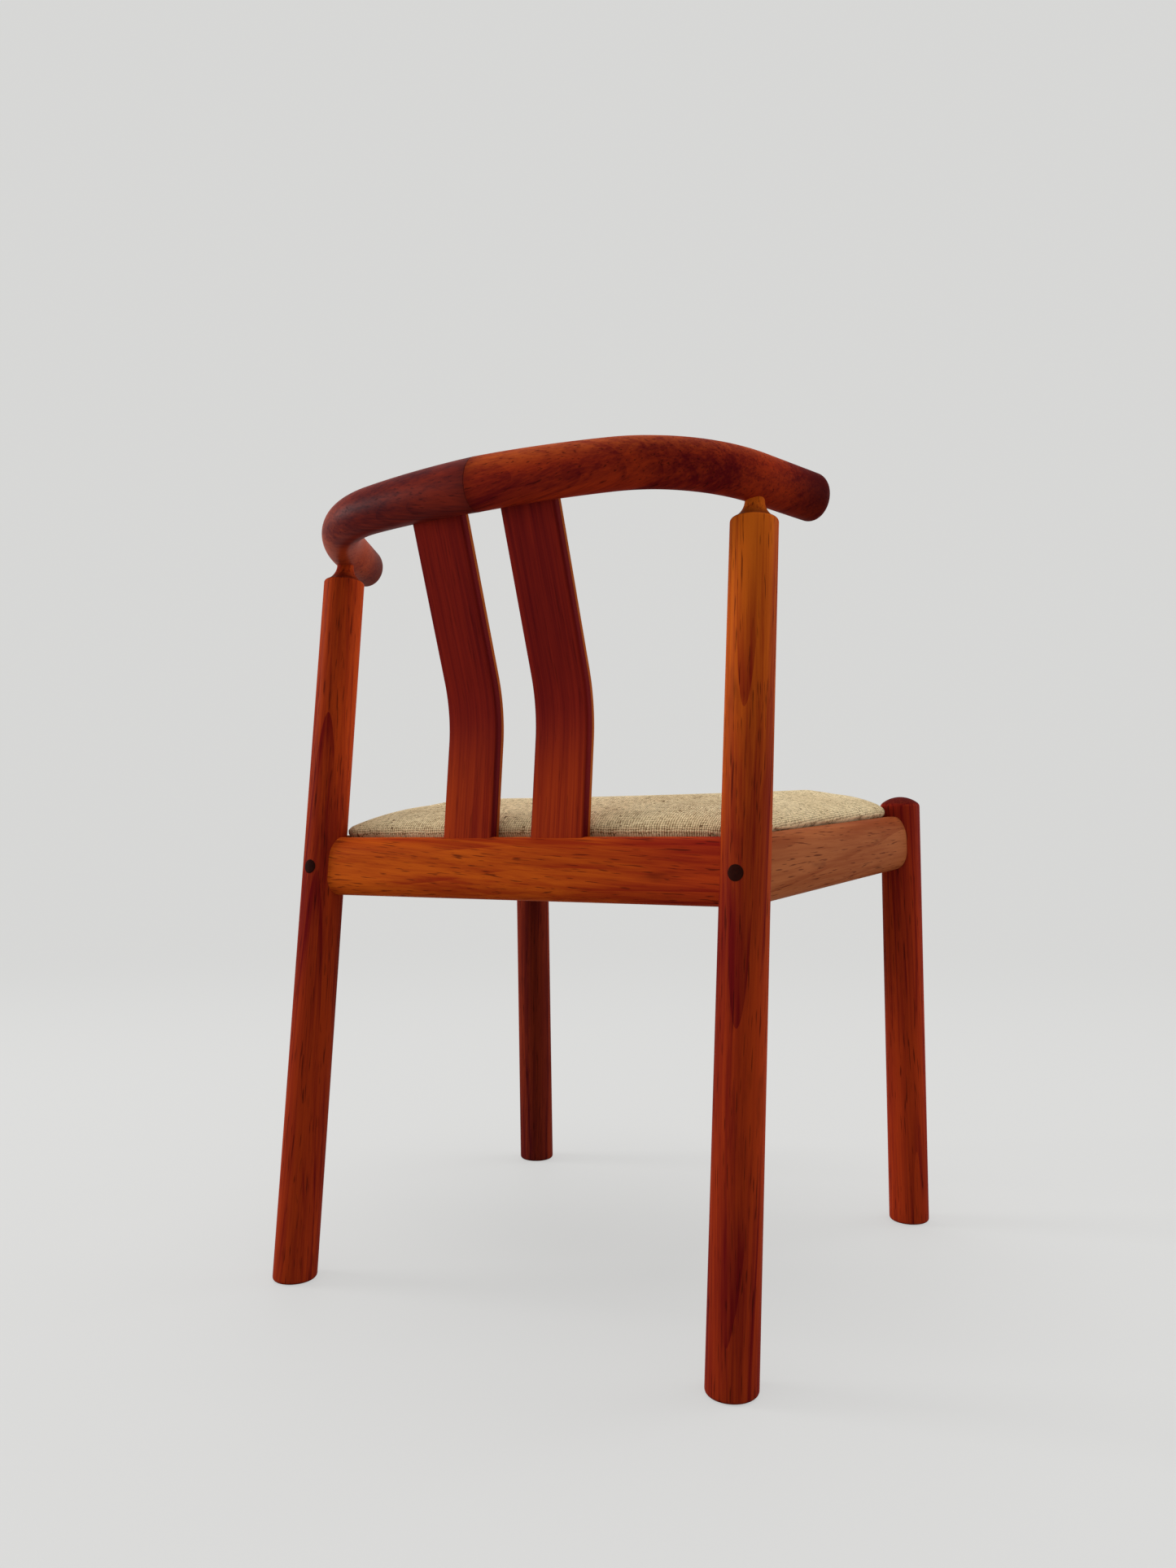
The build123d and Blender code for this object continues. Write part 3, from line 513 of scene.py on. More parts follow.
# %% Plan and height of the seat
seat_run, seat_rear, seat_front, rail_half, seat_gap = 388.1, -14.0, -372.1, 11.5, 2.7
lap_side, lap_rear, lap_front = 8.0, 3.5, 8.0
seat_bottom, seat_edge, seat_crown = -14.0, 4.0, 28.0
side_rise, rear_rise, front_rise = 78.0, 84.0, 45.0
pressed_x, pressed_y, pressed_depth, pressed_size = 35.0, -345.0, 8.0, 84.0
plan_power, leg_gap, lift_drift = 40.0, 1.5, 5.0
top_rings, under_rings = 60, 24
lip_lap, lip_level, side_level = (1.0, 0.9, 0.45, 0.0), (2.4, 1.4, 1.1, 0.4), (-3.0, -8.0, -12.5)
seat_middle, seat_half = (seat_rear + seat_front) / 2, (seat_rear - seat_front) / 2


def half_width(y):
    """Half the width that the side rails leave for the seat, at a depth in the seat plane."""
    return rear_x + (front_x - rear_x) * -y / seat_run - rail_half - seat_gap


def rise(distance, reach):
    """Quarter ellipse: 0 at the edge, 1 from the reach inwards."""
    share = 1 - np.clip(distance / reach, 0, 1)
    return np.sqrt(np.maximum(1 - share**2, 0))


def seat_height(x, y):
    """Edge height plus the crown times its rise from the sides, from the rear and from the front.

    A shallow bell-shaped hollow, e to the minus half the distance squared, is pressed in by years of sitting.
    """
    from_side = half_width(y) + lap_side - np.abs(x)
    from_rear, from_front = seat_rear + lap_rear - y, y - seat_front + lap_front
    share = rise(from_side, side_rise) * rise(from_rear, rear_rise) * rise(from_front, front_rise)
    away = ((x - pressed_x) ** 2 + (y - pressed_y) ** 2) / pressed_size**2
    return seat_edge + (seat_crown - seat_edge - pressed_depth * np.exp(-away / 2)) * share


def clear_of_legs(local):
    """Moves points that are nearer to a leg's axis than its radius and a gap straight out to that distance.

    The axes lean against the seat plane. A front leg's space is drawn out backwards, for the way the
    seat lifts.
    """
    moved = local.copy()
    for foot_y, lean, drift in ((0.0, rear_lean, 0.0), (-seat_run, front_lean, lift_drift)):
        for side in SIDES.values():
            axis_y = foot_y - moved[..., 2] * math.tan(lean + seat_tilt)
            behind = np.clip(moved[..., 1] - axis_y, 0, drift)
            axis_x = side * (rear_x if foot_y == 0 else front_x)
            away = np.stack([moved[..., 0] - axis_x, moved[..., 1] - axis_y - behind], -1)
            distance = np.maximum(np.linalg.norm(away, axis=-1), 1e-6)
            push = np.maximum((leg_radius + leg_gap) / distance, 1) - 1
            moved[..., :2] += away * push[..., None]
    return moved


def from_seat(local):
    """Points of the seat plane, as across, backwards and out of the seat, in the chair's frame."""
    return seat_origin + local[..., :1] * ACROSS + local[..., 1:2] * seat_back + local[..., 2:] * seat_out


def squared(angle, power):
    """Reach of |a|^n + |b|^n = 1 at an angle, a circle for n = 2 and nearly a square for a large n."""
    return (np.abs(np.cos(angle)) ** power + np.abs(np.sin(angle)) ** power) ** (-1 / power)


def seat_plan(ring, angle, lap):
    """A squared ring, stretched to the seat's depth and its width there.

    The lap is the share by which the cover reaches out over the rails.
    """
    corner = squared(angle, plan_power)
    depth = seat_half + lap * np.where(np.sin(angle) > 0, lap_rear, lap_front)
    y = seat_middle + ring * corner * np.sin(angle) * depth
    return ring * corner * np.cos(angle) * (half_width(y) + lap * lap_side), y


def seat_rings(around=288):
    """Rings from the middle of the top outwards, round the lip, down the side and in along the bottom."""
    angle = circle(around)
    top = np.sin(np.linspace(0.02, np.pi / 2, top_rings))
    under = np.linspace(0.985, 0.05, under_rings)
    ring = np.concatenate([top, np.ones(len(lip_lap) + len(side_level)), under])[:, None]
    lap = np.concatenate([np.ones(top_rings), lip_lap, np.zeros(len(side_level) + under_rings)])[:, None]
    x, y = seat_plan(ring, angle, lap)
    above = seat_height(x[:top_rings], y[:top_rings])
    below = np.concatenate([lip_level, side_level, np.full(under_rings, seat_bottom)])[:, None]
    z = np.concatenate([above, np.broadcast_to(below, (len(below), around))])
    return clear_of_legs(np.stack([x, y, z], -1))


seat_poles = np.array([(0, seat_middle, seat_crown), (0, seat_middle, seat_bottom)])
cushion = make_tube("woven_seat", from_seat(seat_rings()), from_seat(seat_poles))
print("seat form:", len(cushion.data.vertices), "points, crown", seat_crown, "mm")

# %% [markdown]
# ## Filling the cover
# Remeshing gives the form an even net of small faces, which cloth needs. The rim and the bottom are held,
# because the cover is stapled to the board there. Pressure then lifts the rest for twenty frames with
# gravity off. Foam only pushes, so a point may rise out of the seat by a few millimetres and never sinks,
# and the seat stays in the space that its solid holds. The result is written back into a plain mesh and
# made finer once.

# %% Remesh, simulate and refine
voxel, pressure, last_frame, most_lift, held_band = 4.1, 2.5, 20, 3.5, 6.0


def to_seat(points):
    """Across, backwards and out of the seat, from points in the chair's frame."""
    away = points - seat_origin
    return np.stack([away[:, 0], away @ seat_back, away @ seat_out], -1)


def with_modifiers(piece):
    """A new mesh with the piece's modifiers worked in."""
    evaluated = piece.evaluated_get(bpy.context.evaluated_depsgraph_get())
    return bpy.data.meshes.new_from_object(evaluated)


def swap_mesh(piece, mesh):
    """Gives the piece a finished mesh and takes its modifiers off."""
    piece.modifiers.clear()
    piece.data = mesh
    mesh.shade_smooth()


def fill_cover(piece):
    """Cloth under pressure. It is held at the rim and let go over a band, 1 - (z - edge) / band.

    Each point keeps its rise out of the seat, between nothing and the most that is allowed.
    """
    before = mesh_points(piece.data)
    held = np.clip((seat_edge + held_band - to_seat(before)[:, 2]) / held_band, 0, 1).round(1)
    group = piece.vertex_groups.new(name="held")
    for weight in np.unique(held):
        group.add(np.flatnonzero(held == weight).tolist(), float(weight), "REPLACE")
    cloth = piece.modifiers.new("cover", "CLOTH")
    cloth.settings.use_pressure = True
    cloth.settings.uniform_pressure_force = pressure
    cloth.settings.vertex_group_mass = "held"
    cloth.settings.effector_weights.gravity = 0
    cloth.point_cache.frame_end = last_frame
    for at in range(1, last_frame + 1):
        bpy.context.scene.frame_set(at)
    mesh = with_modifiers(piece)
    risen = (mesh_points(mesh) - before) @ seat_out
    after = before + np.clip(risen, 0, most_lift)[:, None] * seat_out
    mesh.vertices.foreach_set("co", (after * MM).astype(np.float32).ravel())
    bpy.context.scene.frame_set(1)
    swap_mesh(piece, mesh)
    print("the cover would rise by up to", round(float(risen.max()), 1), "mm")


remesh = cushion.modifiers.new("even net", "REMESH")
remesh.mode = "VOXEL"
remesh.voxel_size = voxel * MM
swap_mesh(cushion, with_modifiers(cushion))
fill_cover(cushion)
finer = cushion.modifiers.new("finer", "SUBSURF")
finer.levels = finer.render_levels = 1
swap_mesh(cushion, with_modifiers(cushion))
crown = to_seat(mesh_points(cushion.data))[:, 2].max()
print("seat:", len(cushion.data.polygons), "faces, crown", round(crown, 1))

# %% [markdown]
# ## Threads that follow the cover
# A weave drawn straight from above would stretch on the sides of the seat. So each point gets its place
# on the flat cloth: across and back on top, and further out by the distance it has gone down the side.

# %% Place of each point on the flat cloth
edge_power, edge_least, drop_share = 9, 0.6, 0.9


def cloth_place(local):
    """Plan position plus a share of the drop below the crown, laid outwards towards the nearest edge.

    Outwards is (a^9, b^9), with a and b the shares of the way to the side and to the front or rear.
    """
    share_x = local[:, 0] / (half_width(local[:, 1]) + lap_side)
    share_y = (local[:, 1] - seat_middle) / seat_half
    outward = np.stack([share_x**edge_power, share_y**edge_power], -1)
    outward = outward / np.maximum(np.linalg.norm(outward, axis=1), edge_least)[:, None]
    drop = (seat_crown - local[:, 2]) * drop_share
    return np.c_[local[:, :2] + outward * drop[:, None], np.zeros(len(local))]


give_attribute(cushion.data, "cloth", cloth_place(to_seat(mesh_points(cushion.data))) * MM)
settle(cushion, "seat", "wool_cover", "seat_cover", "seat_foam")

# %% [markdown]
# ## The cloth under the seat
# A thin dark cloth closes the seat from below and keeps dust out. It is stretched flat over the turned-in
# cover and stapled to the board. It is a grid of distance times angle again, with a front and a back skin
# close together, and it hangs down by about a millimetre in the middle.

# %% Dust cloth
dust_inset, dust_thickness, dust_sag, dust_power, dust_clear = 12.0, 0.7, 1.2, 18.0, 0.05


def dust_skin(around=160, count=24):
    """The seat's plan drawn in, from the middle to the rim, lowest in the middle by a small sag."""
    angle = circle(around)
    ring = np.linspace(0.03, 1, count)[:, None]
    reach = ring * squared(angle, dust_power)
    y = seat_middle + reach * np.sin(angle) * (seat_half - dust_inset)
    x = reach * np.cos(angle) * (half_width(y) - dust_inset)
    z = seat_bottom - dust_clear - dust_sag * np.maximum(1 - ring**2, 0) + 0 * x
    return np.stack([x, y, z], -1)


upper = dust_skin()
lower = upper[::-1] - np.array([0, 0, dust_thickness])
dust_cloth = make_tube("dust_cloth", from_seat(np.concatenate([upper, lower])))
settle(dust_cloth, "seat", "dust_cloth", "seat_dust_cover")

# %% [markdown]
# ## A short way to write materials
# A material is a net of nodes. It can be drawn by hand in the shader editor, but many boards need the
# same net with other values, and a script repeats it without slips. One helper adds a node, sets its
# options and feeds its inputs from other nodes or from plain values. An effect that several materials
# share is built once as a node group, with named inputs.

# %% Node helpers
def set_inputs(tree, node, inputs):
    """Feeds each named input of a node from a socket or a plain value."""
    for name, value in inputs.items():
        if isinstance(value, bpy.types.NodeSocket):
            tree.links.new(value, node.inputs[name])
        else:
            node.inputs[name].default_value = value


def add_node(tree, kind, inputs=None, **options):
    """A node with its options set and its inputs fed."""
    made = tree.nodes.new("ShaderNode" + kind)
    for option, value in options.items():
        setattr(made, option, value)
    set_inputs(tree, made, inputs or {})
    return made


def calc(tree, operation, first, second=0.0, third=0.0):
    """The result of a Math node."""
    return add_node(tree, "Math", {0: first, 1: second, 2: third}, operation=operation).outputs[0]


def vector_calc(tree, operation, first, second):
    """The result of a Vector Math node with two vectors."""
    return add_node(tree, "VectorMath", {0: first, 1: second}, operation=operation).outputs[0]


def times(tree, vector, factor):
    """A vector scaled by a number from a socket."""
    return add_node(tree, "VectorMath", {0: vector, "Scale": factor}, operation="SCALE").outputs[0]


def length_of(tree, vector):
    """The length of a vector."""
    return add_node(tree, "VectorMath", {0: vector}, operation="LENGTH").outputs["Value"]


def axis_of(tree, vector, axis):
    """One component of a vector."""
    return add_node(tree, "SeparateXYZ", {0: vector}).outputs[axis]


def noise(tree, vector, stretch=(1, 1, 1), detail=2.0, roughness=0.5, output="Fac"):
    """A cloudy pattern in 0 to 1, with about as many bumps per unit along each axis as the stretch says."""
    spread = vector_calc(tree, "MULTIPLY", vector, stretch)
    inputs = {"Vector": spread, "Scale": 1.0, "Detail": detail, "Roughness": roughness}
    return add_node(tree, "TexNoise", inputs).outputs[output]


def centred(tree, colour):
    """A colour moved from 0 to 1 to between -0.5 and 0.5."""
    return vector_calc(tree, "SUBTRACT", colour, (0.5, 0.5, 0.5))


def between(tree, value, low, high):
    """0 below low, 1 above high, with a soft step between."""
    inputs = {"Value": value, "From Min": low, "From Max": high}
    return add_node(tree, "MapRange", inputs, interpolation_type="SMOOTHSTEP").outputs[0]


def blended(tree, share, first, second):
    """A mix of two colours."""
    return add_node(tree, "Mix", {0: share, 6: first, 7: second}, data_type="RGBA").outputs[2]


def new_group(name, inputs, outputs):
    """An empty node group with its sockets, as (tree, input sockets by name, output node)."""
    tree = bpy.data.node_groups.new(name, "ShaderNodeTree")
    for direction, sockets in (("INPUT", inputs), ("OUTPUT", outputs)):
        for label, kind in sockets.items():
            tree.interface.new_socket(label, in_out=direction, socket_type="NodeSocket" + kind)
    entry = tree.nodes.new("NodeGroupInput")
    return tree, entry.outputs, tree.nodes.new("NodeGroupOutput")


def new_material(name):
    """An empty material, as (material, tree, Principled shader)."""
    material = bpy.data.materials.new(name)
    material.use_nodes = True
    return material, material.node_tree, material.node_tree.nodes["Principled BSDF"]


def finish(piece, material):
    """The piece wears one material."""
    piece.data.materials.clear()
    piece.data.materials.append(material)


print("node helpers ready")

# %% [markdown]
# ## Grain of oiled teak
# Sawn teak shows the tree's yearly rings. They are cylinders round the pith, so a board that is cut a
# little askew shows long pointed arches. Over them lie fine fibres and short dark pores, all drawn out
# along the grain. An image would repeat and stretch. Here the distance from the pith gives the rings, and
# stretched noise gives fibres and pores, so the figure runs through the wood and fits on every side.
# Across the end of a piece, the wood drinks more oil and turns dark; the same input paints shade on the top
# rail's arm.

# %% Teak group
wood_inputs = {
    "Vector": "Vector", "Pale": "Color", "Deep": "Color", "Pore": "Color", "Ring Width": "Float",
    "Wander": "Float", "Ring Strength": "Float", "Patches": "Float", "Pore Strength": "Float",
    "End Grain And Shade": "Float",
}
wood_outputs = {"Color": "Color", "Roughness": "Float", "Height": "Float"}
wood, at, wood_end = new_group("Teak grain", wood_inputs, wood_outputs)
sway = centred(wood, noise(wood, at["Vector"], (16, 16, 2.6), output="Color"))
swayed = vector_calc(wood, "ADD", at["Vector"], times(wood, sway, at["Wander"]))

# Yearly rings: a dark line at the start of each ring's width, faint in places
from_pith = length_of(wood, vector_calc(wood, "MULTIPLY", swayed, (1, 1, 0)))
within = calc(wood, "FRACT", calc(wood, "DIVIDE", from_pith, at["Ring Width"]))
line = calc(wood, "SUBTRACT", 1.0, between(wood, within, 0.0, 0.35))
faint = between(wood, noise(wood, at["Vector"], (60, 60, 9), 1.0), 0.40, 0.62)
line = calc(wood, "MULTIPLY", calc(wood, "MULTIPLY", line, faint), at["Ring Strength"])

# Tone: rings, fibres, streaks and clouds together
fibre = noise(wood, swayed, (560, 560, 7), 3.0, 0.6)
streak = noise(wood, swayed, (210, 210, 2.6))
cloud = noise(wood, at["Vector"], (24, 24, 4))
tone = calc(wood, "SUBTRACT", 0.55, line)
for pattern, weight in ((fibre, 0.7), (streak, 0.6), (cloud, at["Patches"])):
    tone = calc(wood, "MULTIPLY_ADD", calc(wood, "SUBTRACT", pattern, 0.5), weight, tone)
grained = blended(wood, between(wood, tone, 0.1, 0.9), at["Deep"], at["Pale"])

# Pores, smoky marks, end-grain oil and the painted shade that shares its input, all in the dark pore colour
dash = between(wood, noise(wood, swayed, (700, 700, 34), 1.0), 0.61, 0.72)
dash = calc(wood, "MULTIPLY", dash, at["Pore Strength"])
smoke = between(wood, noise(wood, swayed, (48, 48, 11), 3.0, 0.6), 0.62, 0.80)
marks = calc(wood, "MAXIMUM", calc(wood, "MULTIPLY", smoke, 0.5), dash)
oil_and_shade = calc(wood, "MULTIPLY", between(wood, at["End Grain And Shade"], 0.25, 0.9), 0.72)
for share in (marks, oil_and_shade):
    grained = blended(wood, share, grained, at["Pore"])

dull = calc(wood, "MULTIPLY_ADD", dash, 0.15, calc(wood, "MULTIPLY_ADD", tone, -0.10, 0.50))
relief = calc(wood, "MULTIPLY_ADD", dash, -1.0, calc(wood, "MULTIPLY", fibre, 0.35))
set_inputs(wood, wood_end, {"Color": grained, "Roughness": dull, "Height": relief})
print("teak group:", len(wood.nodes), "nodes")

# %% [markdown]
# ## One material for each board
# Two pieces never come from the same spot of a tree. Each has its own place of the pith and its own
# direction of the grain, and a Mapping node of the Texture kind turns the chair's coordinates into that
# board's own. Some boards get a second pair of colours towards one end or side. On the rear legs, the
# slats and the top rail it paints light and shade, and on the back rail it only makes the right end
# darker. The slats read the coordinates kept on their points, and their narrow sides show the veneers
# with a band of painted shade and a line of painted highlight.

# %% Wood materials
plain_grain = {
    "ring_width": 0.006, "wander": 0.010, "ring_strength": 0.3, "patches": 1.2, "pore_strength": 0.65,
    "pore": (0.045, 0.004, 0.004, 1),
}
grain_relief, grain_depth = 0.08, 0.0004
# Slat sides: a dark band of veneers and painted shade, and a golden line of veneer and painted edge
# highlight.
veneer_and_shade_band, veneer_and_highlight_band = (0.0246, 0.0262), (0.0008, 0.0016)
veneers_and_side_shade = ((0.18, 0.010, 0.010), (0.085, 0.005, 0.007))
veneer_and_edge_highlight = ((0.46, 0.115, 0.017), (0.28, 0.050, 0.011))


def toned(tree, share, colours, others):
    """A pair of colours that gives way to another pair."""
    return [blended(tree, share, one, (*other, 1)) for one, other in zip(colours, others)]


def veneer_shade_and_highlight(tree, place, colours):
    """Narrow sides: a dark band of veneers and painted shade, a golden line of veneer and painted highlight.
    """
    side = between(tree, calc(tree, "ABSOLUTE", axis_of(tree, place, "X")), *veneer_and_shade_band)
    front = calc(tree, "MULTIPLY", side, between(tree, axis_of(tree, place, "Y"), *veneer_and_highlight_band))
    return toned(tree, front, toned(tree, side, colours, veneers_and_side_shade), veneer_and_edge_highlight)


def wooden(name, pale, deep, pith, turn, second=None, carried=(), gloss=0.006, **changes):
    """Oiled wood whose grain runs along the turned Z axis, with the pith at a point in metres.

    A second pair of colours takes over along one axis of the chair, given as axis, start, end, pale and deep.
    Carried are the attributes on the piece's points, and changes are values that differ from the plain grain.
    """
    material, tree, shader = new_material(name)
    in_chair = add_node(tree, "TexCoord").outputs["Object"]
    colours = [(*pale, 1), (*deep, 1)]
    if second:
        axis, start, end, *others = second
        colours = toned(tree, between(tree, axis_of(tree, in_chair, axis), start, end), colours, others)
    place = in_chair
    if "grain" in carried:
        place = add_node(tree, "Attribute", attribute_name="grain").outputs["Vector"]
        colours = veneer_shade_and_highlight(tree, place, colours)
    turned = {"Vector": place, "Location": pith, "Rotation": [math.radians(angle) for angle in turn]}
    inputs = {key.replace("_", " ").title(): value for key, value in {**plain_grain, **changes}.items()}
    inputs["Vector"] = add_node(tree, "Mapping", turned, vector_type="TEXTURE").outputs[0]
    inputs["Pale"], inputs["Deep"] = colours
    if "end_grain" in carried:
        inputs["End Grain And Shade"] = add_node(tree, "Attribute", attribute_name="end_grain").outputs["Fac"]
    grain = add_node(tree, "Group", inputs, node_tree=wood).outputs
    relief = {"Height": grain["Height"], "Strength": grain_relief, "Distance": grain_depth}
    set_inputs(tree, shader, {
        "Base Color": grain["Color"], "Normal": add_node(tree, "Bump", relief).outputs[0],
        "Roughness": grain["Roughness"], "Specular IOR Level": gloss,
    })
    return material


def board(piece, name, *colours_and_place, **options):
    """Dresses a piece in wood of its own."""
    finish(piece, wooden(name, *colours_and_place, carried=piece.data.attributes.keys(), **options))


# The rear legs turn darker towards the floor: painted shade, where the light falls off low down.
painted_foot_shade = (0.40, 0.042, 0.008), (0.15, 0.006, 0.007)
board(
    legs["rear_leg_left"], "far rear leg", (0.50, 0.060, 0.009), (0.18, 0.008, 0.007),
    (0.27, 0.10, 0.0), (4.2, -1.4, 0), ("Z", 0.55, 0.25, *painted_foot_shade),
)
board(
    legs["rear_leg_right"], "near rear leg", (0.70, 0.145, 0.011), (0.30, 0.020, 0.007),
    (-0.2, 0.09, 0.1), (6.9, 1.0, 0), ("Z", 0.70, 0.25, *painted_foot_shade), ring_width=0.0075,
)
# The front legs have darker colours than the rear ones, the far one most: painted shade under the seat.
board(
    legs["front_leg_left"], "far front leg", (0.25, 0.030, 0.010), (0.08, 0.006, 0.008),
    (0.28, -0.27, 0.0), (0.5, -1.0, 0),
)
board(
    legs["front_leg_right"], "near front leg", (0.46, 0.046, 0.010), (0.16, 0.006, 0.008),
    (-0.29, -0.16, 0.0), (-2.2, 1.2, 0),
)

# Top rail: lighter at the left bend as painted light from the left lamp, and along the top of the right half
# as painted light from above.
painted_lit_bend = (0.38, 0.055, 0.014), (0.15, 0.011, 0.009)
painted_lit_top = (0.48, 0.085, 0.016), (0.20, 0.016, 0.009)
board(
    top_rails["top_rail_left"], "top rail left", (0.22, 0.021, 0.010), (0.060, 0.005, 0.008),
    (0.1, 0.16, 0.74), (4, 84, 12), ("X", 0.12, 0.24, *painted_lit_bend),
    gloss=0.03, ring_strength=0.12, patches=1.5,
)
board(
    top_rails["top_rail_right"], "top rail right", (0.38, 0.034, 0.009), (0.12, 0.006, 0.008),
    (-0.1, 0.13, 0.72), (-6, 95, -14), ("Z", 0.695, 0.716, *painted_lit_top),
    ring_width=0.012, wander=0.014, ring_strength=0.18, patches=1.5,
)

# The slats turn darker towards their tops: painted shade where they lean back, away from the light above.
painted_slat_top_shade = (0.26, 0.018, 0.010), (0.10, 0.005, 0.008)
for index, slat in enumerate(slats.values()):
    board(
        slat, f"slat {index + 1}", (0.42, 0.045, 0.009), (0.18, 0.009, 0.007),
        (0.31 + index * 0.07, 0.02, 0), (0.4, 0.2, 0), ("Z", 0.43, 0.52, *painted_slat_top_shade),
        ring_width=0.0045, wander=0.003, ring_strength=0.1, patches=0.8, pore_strength=0.3,
    )

right_end = (0.46, 0.048, 0.009), (0.24, 0.012, 0.007)
board(
    rails["back_rail"], "back rail", (0.60, 0.105, 0.009), (0.32, 0.028, 0.006),
    (0.0, 0.10, 0.33), (3.0, 86.5, 0), ("X", -0.05, -0.20, *right_end), ring_width=0.008, wander=0.012,
)
board(
    rails["front_rail"], "front rail", (0.60, 0.090, 0.010), (0.25, 0.013, 0.007),
    (0.0, -0.15, 0.34), (-3, 92, 0),
)
for side_name, side in SIDES.items():
    # The side rails' pale, greyish teak has a painted sheen in it, the glare of a side lamp on the outer
    # face.
    board(
        rails[f"side_rail_{side_name}"], f"side rail {side_name}", (0.42, 0.125, 0.040), (0.27, 0.060, 0.018),
        (side * 0.15, 0.0, 0.36), (-92, 0, side * 4), ring_width=0.008, wander=0.012,
    )
    board(
        plugs[f"leg_plug_{side_name}"], f"plug {side_name}", (0.035, 0.008, 0.005), (0.012, 0.004, 0.004),
        (0.05, 0, 0.3), (80, 0, 0), ring_width=0.003,
    )
print("wood materials:", len([m for m in bpy.data.materials if m.node_tree]))

# %% [markdown]
# ## Hidden wood and metal
# Beech dowels and corner blocks, the plywood board and the steel parts are seen only from below or with
# the seat lifted out. The same grain group serves the beech and the plywood with other colours. Steel
# gets fine noise in its roughness, as plated screws have.

# %% Beech, plywood and steel
beech_pore = (0.16, 0.08, 0.035, 1)
beech = wooden(
    "beech", (0.52, 0.31, 0.15), (0.38, 0.20, 0.085), (0.0, 0.0, 0.3), (0, 90, 0), gloss=0.3,
    ring_width=0.004, wander=0.006, patches=0.8, pore_strength=0.4, pore=beech_pore,
)
plywood = wooden(
    "plywood", (0.60, 0.42, 0.22), (0.45, 0.28, 0.13), (0.0, 0.0, 0.39), (0, 90, 0), gloss=0.2,
    ring_width=0.0014, wander=0.001, ring_strength=0.9, patches=0.6, pore_strength=0.3, pore=beech_pore,
)


def plated_steel():
    """Zinc-plated steel: cloudy grey, with roughness that changes from spot to spot."""
    material, tree, shader = new_material("plated steel")
    cloudy = noise(tree, add_node(tree, "TexCoord").outputs["Object"], (600, 600, 600), 3.0)
    set_inputs(tree, shader, {
        "Base Color": blended(tree, cloudy, (0.42, 0.42, 0.40, 1), (0.62, 0.62, 0.60, 1)),
        "Roughness": calc(tree, "MULTIPLY_ADD", cloudy, 0.25, 0.22), "Metallic": 1.0,
    })
    return material


steel = plated_steel()
for name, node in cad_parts.items():
    if name.endswith("dowels") or name.startswith(("corner_block_rear", "corner_block_front")):
        finish(node, beech)
    if name.startswith("leg_bolt") or name in ("barrel_nuts", "corner_block_screws", "cover_staples"):
        finish(node, steel)
finish(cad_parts["seat_board"], plywood)
print("hidden parts finished")

# %% [markdown]
# ## Woven wool
# The cover is a coarse plain weave: each thread passes over one and under the next. A thread is round, so
# its height is the sine across it, and it rises and falls along its length by another sine that changes
# sign from one thread to the next. The higher of the two threads is the one that is seen. Hand-spun wool
# is uneven, so the threads sway, differ in tone from crossing to crossing, and carry brown flecks of
# coarser wool. An image of cloth would repeat, and single threads as meshes would be far too many.

# %% Weave group
weave_inputs = {
    "Vector": "Vector", "Thread": "Float", "Pale": "Color", "Shade": "Color", "Fleck": "Color",
    "Fleck Amount": "Float",
}
weave, by, weave_end = new_group("Plain weave", weave_inputs, {"Color": "Color", "Height": "Float"})
counted = times(weave, by["Vector"], calc(weave, "DIVIDE", 1.0, by["Thread"]))
wobble = centred(weave, noise(weave, counted, (0.35, 0.35, 0.35), output="Color"))
counted = vector_calc(weave, "ADD", vector_calc(weave, "MULTIPLY", wobble, (0.9, 0.9, 0)), counted)
u, v = axis_of(weave, counted, "X"), axis_of(weave, counted, "Y")


def thread_height(over, along, shift):
    """|sin(pi over)|^0.7 times a rise from 0.2 to 1 that follows sin(pi along + pi floor(over) + shift)."""
    hump = calc(weave, "ABSOLUTE", calc(weave, "SINE", calc(weave, "MULTIPLY", over, math.pi)))
    phase = calc(weave, "MULTIPLY_ADD", calc(weave, "ADD", along, calc(weave, "FLOOR", over)), math.pi, shift)
    lift = calc(weave, "MULTIPLY_ADD", calc(weave, "SINE", phase), 0.5, 0.5)
    lift = calc(weave, "MULTIPLY_ADD", lift, 0.8, 0.2)
    return calc(weave, "MULTIPLY", calc(weave, "POWER", hump, 0.7), lift)


def thread_tone(over, along, seed):
    """Tone of a thread, drawn out along it, from noise in its own number and length."""
    number = calc(weave, "MULTIPLY", calc(weave, "FLOOR", over), 7.31)
    drawn_out = calc(weave, "MULTIPLY", along, 0.16)
    spot = add_node(weave, "CombineXYZ", {"X": number, "Y": drawn_out, "Z": seed}).outputs[0]
    return noise(weave, spot, roughness=0.6)


# The higher thread is seen, in its own tone and with a lighter or darker nub at each crossing
warp, weft = thread_height(u, v, 0.0), thread_height(v, u, math.pi)
on_top = calc(weave, "GREATER_THAN", warp, weft)
high = calc(weave, "MAXIMUM", warp, weft)
warp_tone = calc(weave, "MULTIPLY", on_top, thread_tone(u, v, 3.0))
weft_tone = calc(weave, "MULTIPLY", calc(weave, "SUBTRACT", 1.0, on_top), thread_tone(v, u, 11.0))
own = calc(weave, "ADD", warp_tone, weft_tone)
numbers = {"X": calc(weave, "FLOOR", u), "Y": calc(weave, "FLOOR", v)}
crossing = add_node(weave, "CombineXYZ", numbers).outputs[0]
nub = add_node(weave, "TexWhiteNoise", {"Vector": crossing}, noise_dimensions="2D").outputs["Value"]
